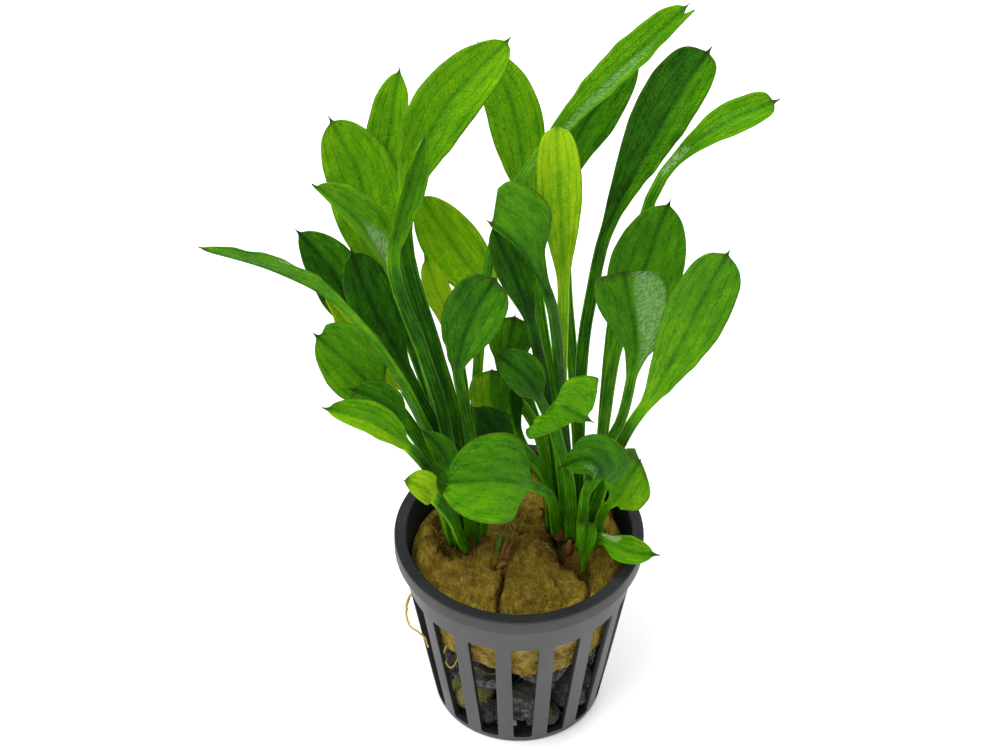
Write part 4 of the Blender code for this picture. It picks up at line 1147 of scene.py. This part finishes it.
def strip(points, widths, face, thickness=0.35):
    """A thin flat shell along a line: a dead sheath, a cut stub or a scrap."""
    line, reach = smooth_line(points)
    s = np.linspace(0, reach[-1], 14)
    here = along_line(line, reach, s)
    along = unit(np.gradient(here, axis=0))
    look = np.array(face, dtype=float)
    up = unit(look - along * (along @ look)[:, None])
    side = np.cross(along, up)
    half = np.interp(s / reach[-1], np.linspace(0, 1, len(widths)), widths) / 2
    turn = np.arange(12) * 2 * math.pi / 12
    across, out = np.cos(turn), np.sin(turn) * thickness / 2
    bow = -0.25 * half[:, None] * across ** 2
    verts = (here[:, None, :] + side[:, None, :] * (half[:, None] * across)[..., None]
             + up[:, None, :] * (out + bow)[..., None])
    return verts.reshape(-1, 3), ring_faces(len(s), 12)


# Dead sheaths and scraps: line (mm), widths from end to end, and the way the flat side looks.
BROWN_SCRAPS = (
    (((7.0, 12.0, 45.5), (6.2, 9.5, 55.0), (4.0, 9.0, 62.0)), (2.6, 2.4, 1.6, 0.5), (0, -1, 0.4)),
    (((7.8, 10.5, 45.5), (7.4, 9.0, 52.0), (6.4, 8.6, 57.0)), (2.4, 2.0, 0.4), (-0.3, -1, 0.3)),
    (((8.6, 1.6, 45.0), (8.8, 1.2, 48.6), (8.4, 1.4, 50.6)), (2.6, 2.8, 1.6), (-0.3, -1, 0.5)),
    (((-3.0, -5.0, 45.6), (-2.4, -3.4, 47.2), (-1.4, -1.2, 47.4)), (0.9, 1.1, 0.4), (0, -0.6, 1)),
    (((-3.9, -4.6, 45.8), (-3.4, -2.8, 47.3), (-2.8, -0.6, 47.6)), (0.5, 0.6, 0.2), (0.3, -0.6, 1)),
    (((-4.9, -7.2, 45.0), (-3.8, -6.6, 46.2), (-2.6, -6.7, 45.9)), (0.8, 1.2, 0.6), (0, -0.5, 1)),
    (((11.0, -2.4, 44.6), (11.2, -2.0, 47.2), (11.6, -1.4, 48.4)), (1.6, 1.8, 0.8), (-0.4, -1, 0.4)),
    (((-14.8, -1.0, 44.8), (-14.4, -0.6, 47.4), (-14.6, 0.2, 49.0)), (1.8, 1.5, 0.3), (-0.3, -1, 0.4)),
    (((-17.2, 3.6, 44.8), (-16.6, 3.4, 47.6), (-16.0, 3.8, 49.6)), (1.8, 1.4, 0.3), (-0.5, -1, 0.4)),
)
STUB = (((-4.9, -1.4, 44.8), (-4.5, -0.6, 46.6), (-4.0, 0.3, 48.4)), (1.5, 1.6, 1.5), (0, -1, 0.6))


def build_roots(material):
    pieces = []
    for name, (radius, route) in ROOTS.items():
        line, reach = smooth_line(route)
        stations = np.linspace(0, reach[-1], 70)
        path = along_line(line, reach, stations)
        path = path + 0.12 * np.stack([fractal(path, 0.8, 2, k * 5.0) for k in range(3)], axis=-1)
        radii = radius * (1 + 0.18 * fractal(path, 1.5, 2)) * (1 - 0.35 * np.linspace(0, 1, 70))
        verts, faces = tube(path, radii, 10)
        pieces.append((name, add_object(name + "_fine", verts, faces, material)))
    return pieces


# ---------------------------------------------------------------- build
def add_piece(obj, material_slot, *nodes):
    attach(obj, "root")
    if nodes:
        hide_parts(*nodes)


leaf_material = leaf_finish()
for leaf_name, leaf_row in LEAVES.items():
    add_piece(build_leaf(leaf_name + "_fine", leaf_row, leaf_material), "leaf", leaf_name)

add_piece(build_cup(cup_finish(), rim_finish()), "cup", "net_cup")
add_piece(build_wool(wool_finish()), "wool", "wool_plug")
add_piece(build_fibres(fibre_finish()), "wool")

lava = stone_finish("lava", (0.008, 0.009, 0.009), (0.075, 0.078, 0.075), 0.3)
pebble = stone_finish("olive_pebble", (0.100, 0.095, 0.020), (0.210, 0.200, 0.060), 0.4)
for stone_name, middle, radii, turn in STONES:
    is_pebble = stone_name.startswith("pebble")
    stone = build_stone(stone_name, middle, radii, turn, pebble if is_pebble else lava)
    add_piece(stone, "pebble" if is_pebble else "stone", stone_name)
for chip_name, middle, radii, turn in CHIPS:
    add_piece(build_stone(chip_name, middle, radii, turn, lava), "stone")

sheath = bark_finish("sheath_brown", (0.018, 0.009, 0.002), (0.110, 0.058, 0.012))
for crown_side in CROWNS:
    add_piece(build_crown(crown_side, sheath), "crown", "crown_" + crown_side)
for root_name, root in build_roots(bark_finish("root_gold", (0.28, 0.18, 0.016), (0.58, 0.44, 0.08))):
    add_piece(root, "root", *([root_name] if root_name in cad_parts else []))
add_piece(join("dead_sheaths", [strip(*scrap) for scrap in BROWN_SCRAPS],
               bark_finish("sheath_red", (0.030, 0.012, 0.003), (0.200, 0.085, 0.018))), "crown")
stub_points, stub_faces = strip(*STUB, thickness=1.1)
add_piece(add_object("cut_stub", stub_points, stub_faces,
                     bark_finish("stub_green", (0.020, 0.060, 0.003), (0.100, 0.180, 0.016))), "leaf")


# ---------------------------------------------------------------- floor, light and camera
def add_floor():
    f = Finish("floor_white", roughness=0.9, specular=0.0)
    cloud = f.noise(f.place, 3.0, 2.0)
    f.set("Base Color", f.mix(cloud, (0.90, 0.90, 0.90), (0.93, 0.93, 0.93)))
    floor = add_object("floor", ((-3000, -3000, 0), (3000, -3000, 0), (3000, 3000, 0), (-3000, 3000, 0)),
                       ((0, 1, 2, 3),), f.material, smooth=False)


def add_softbox(name, place, aim, size, power):
    data = bpy.data.lights.new(name, "AREA")
    data.shape = "DISK"
    data.size = size
    data.energy = power
    lamp = bpy.data.objects.new(name, data)
    lamp.location = place
    lamp.rotation_euler = (Vector(aim) - Vector(place)).to_track_quat("-Z", "Y").to_euler()
    bpy.context.scene.collection.objects.link(lamp)


def add_camera():
    data = bpy.data.cameras.new("camera")
    data.lens = LENS
    data.sensor_width = 36.0
    data.clip_start = 0.01
    camera = bpy.data.objects.new("camera", data)
    back = Vector((0.0, -math.cos(PITCH), math.sin(PITCH)))
    rise = Vector((0.0, math.sin(PITCH), math.cos(PITCH)))
    mouth = Vector((0.0, 0.0, CUP_HEIGHT))
    camera.location = (mouth + back * DISTANCE + rise * MOUTH_BELOW - Vector((MOUTH_RIGHT, 0, 0))) * MM
    camera.rotation_euler = (math.radians(90) - PITCH, 0.0, 0.0)
    bpy.context.scene.collection.objects.link(camera)
    bpy.context.scene.camera = camera


add_floor()
middle_of_plant = (0.0, 0.0, 0.09)
add_softbox("key", (-0.35, -0.25, 1.0), middle_of_plant, 0.7, 9.0)
add_softbox("back", (0.35, 0.55, 0.75), middle_of_plant, 0.6, 4.0)
world = bpy.data.worlds.new("studio")
world.use_nodes = True
world.node_tree.nodes["Background"].inputs["Color"].default_value = (1.0, 1.0, 1.0, 1.0)
world.node_tree.nodes["Background"].inputs["Strength"].default_value = 1.0
bpy.context.scene.world = world
bpy.context.scene.view_settings.view_transform = "Standard"
add_camera()
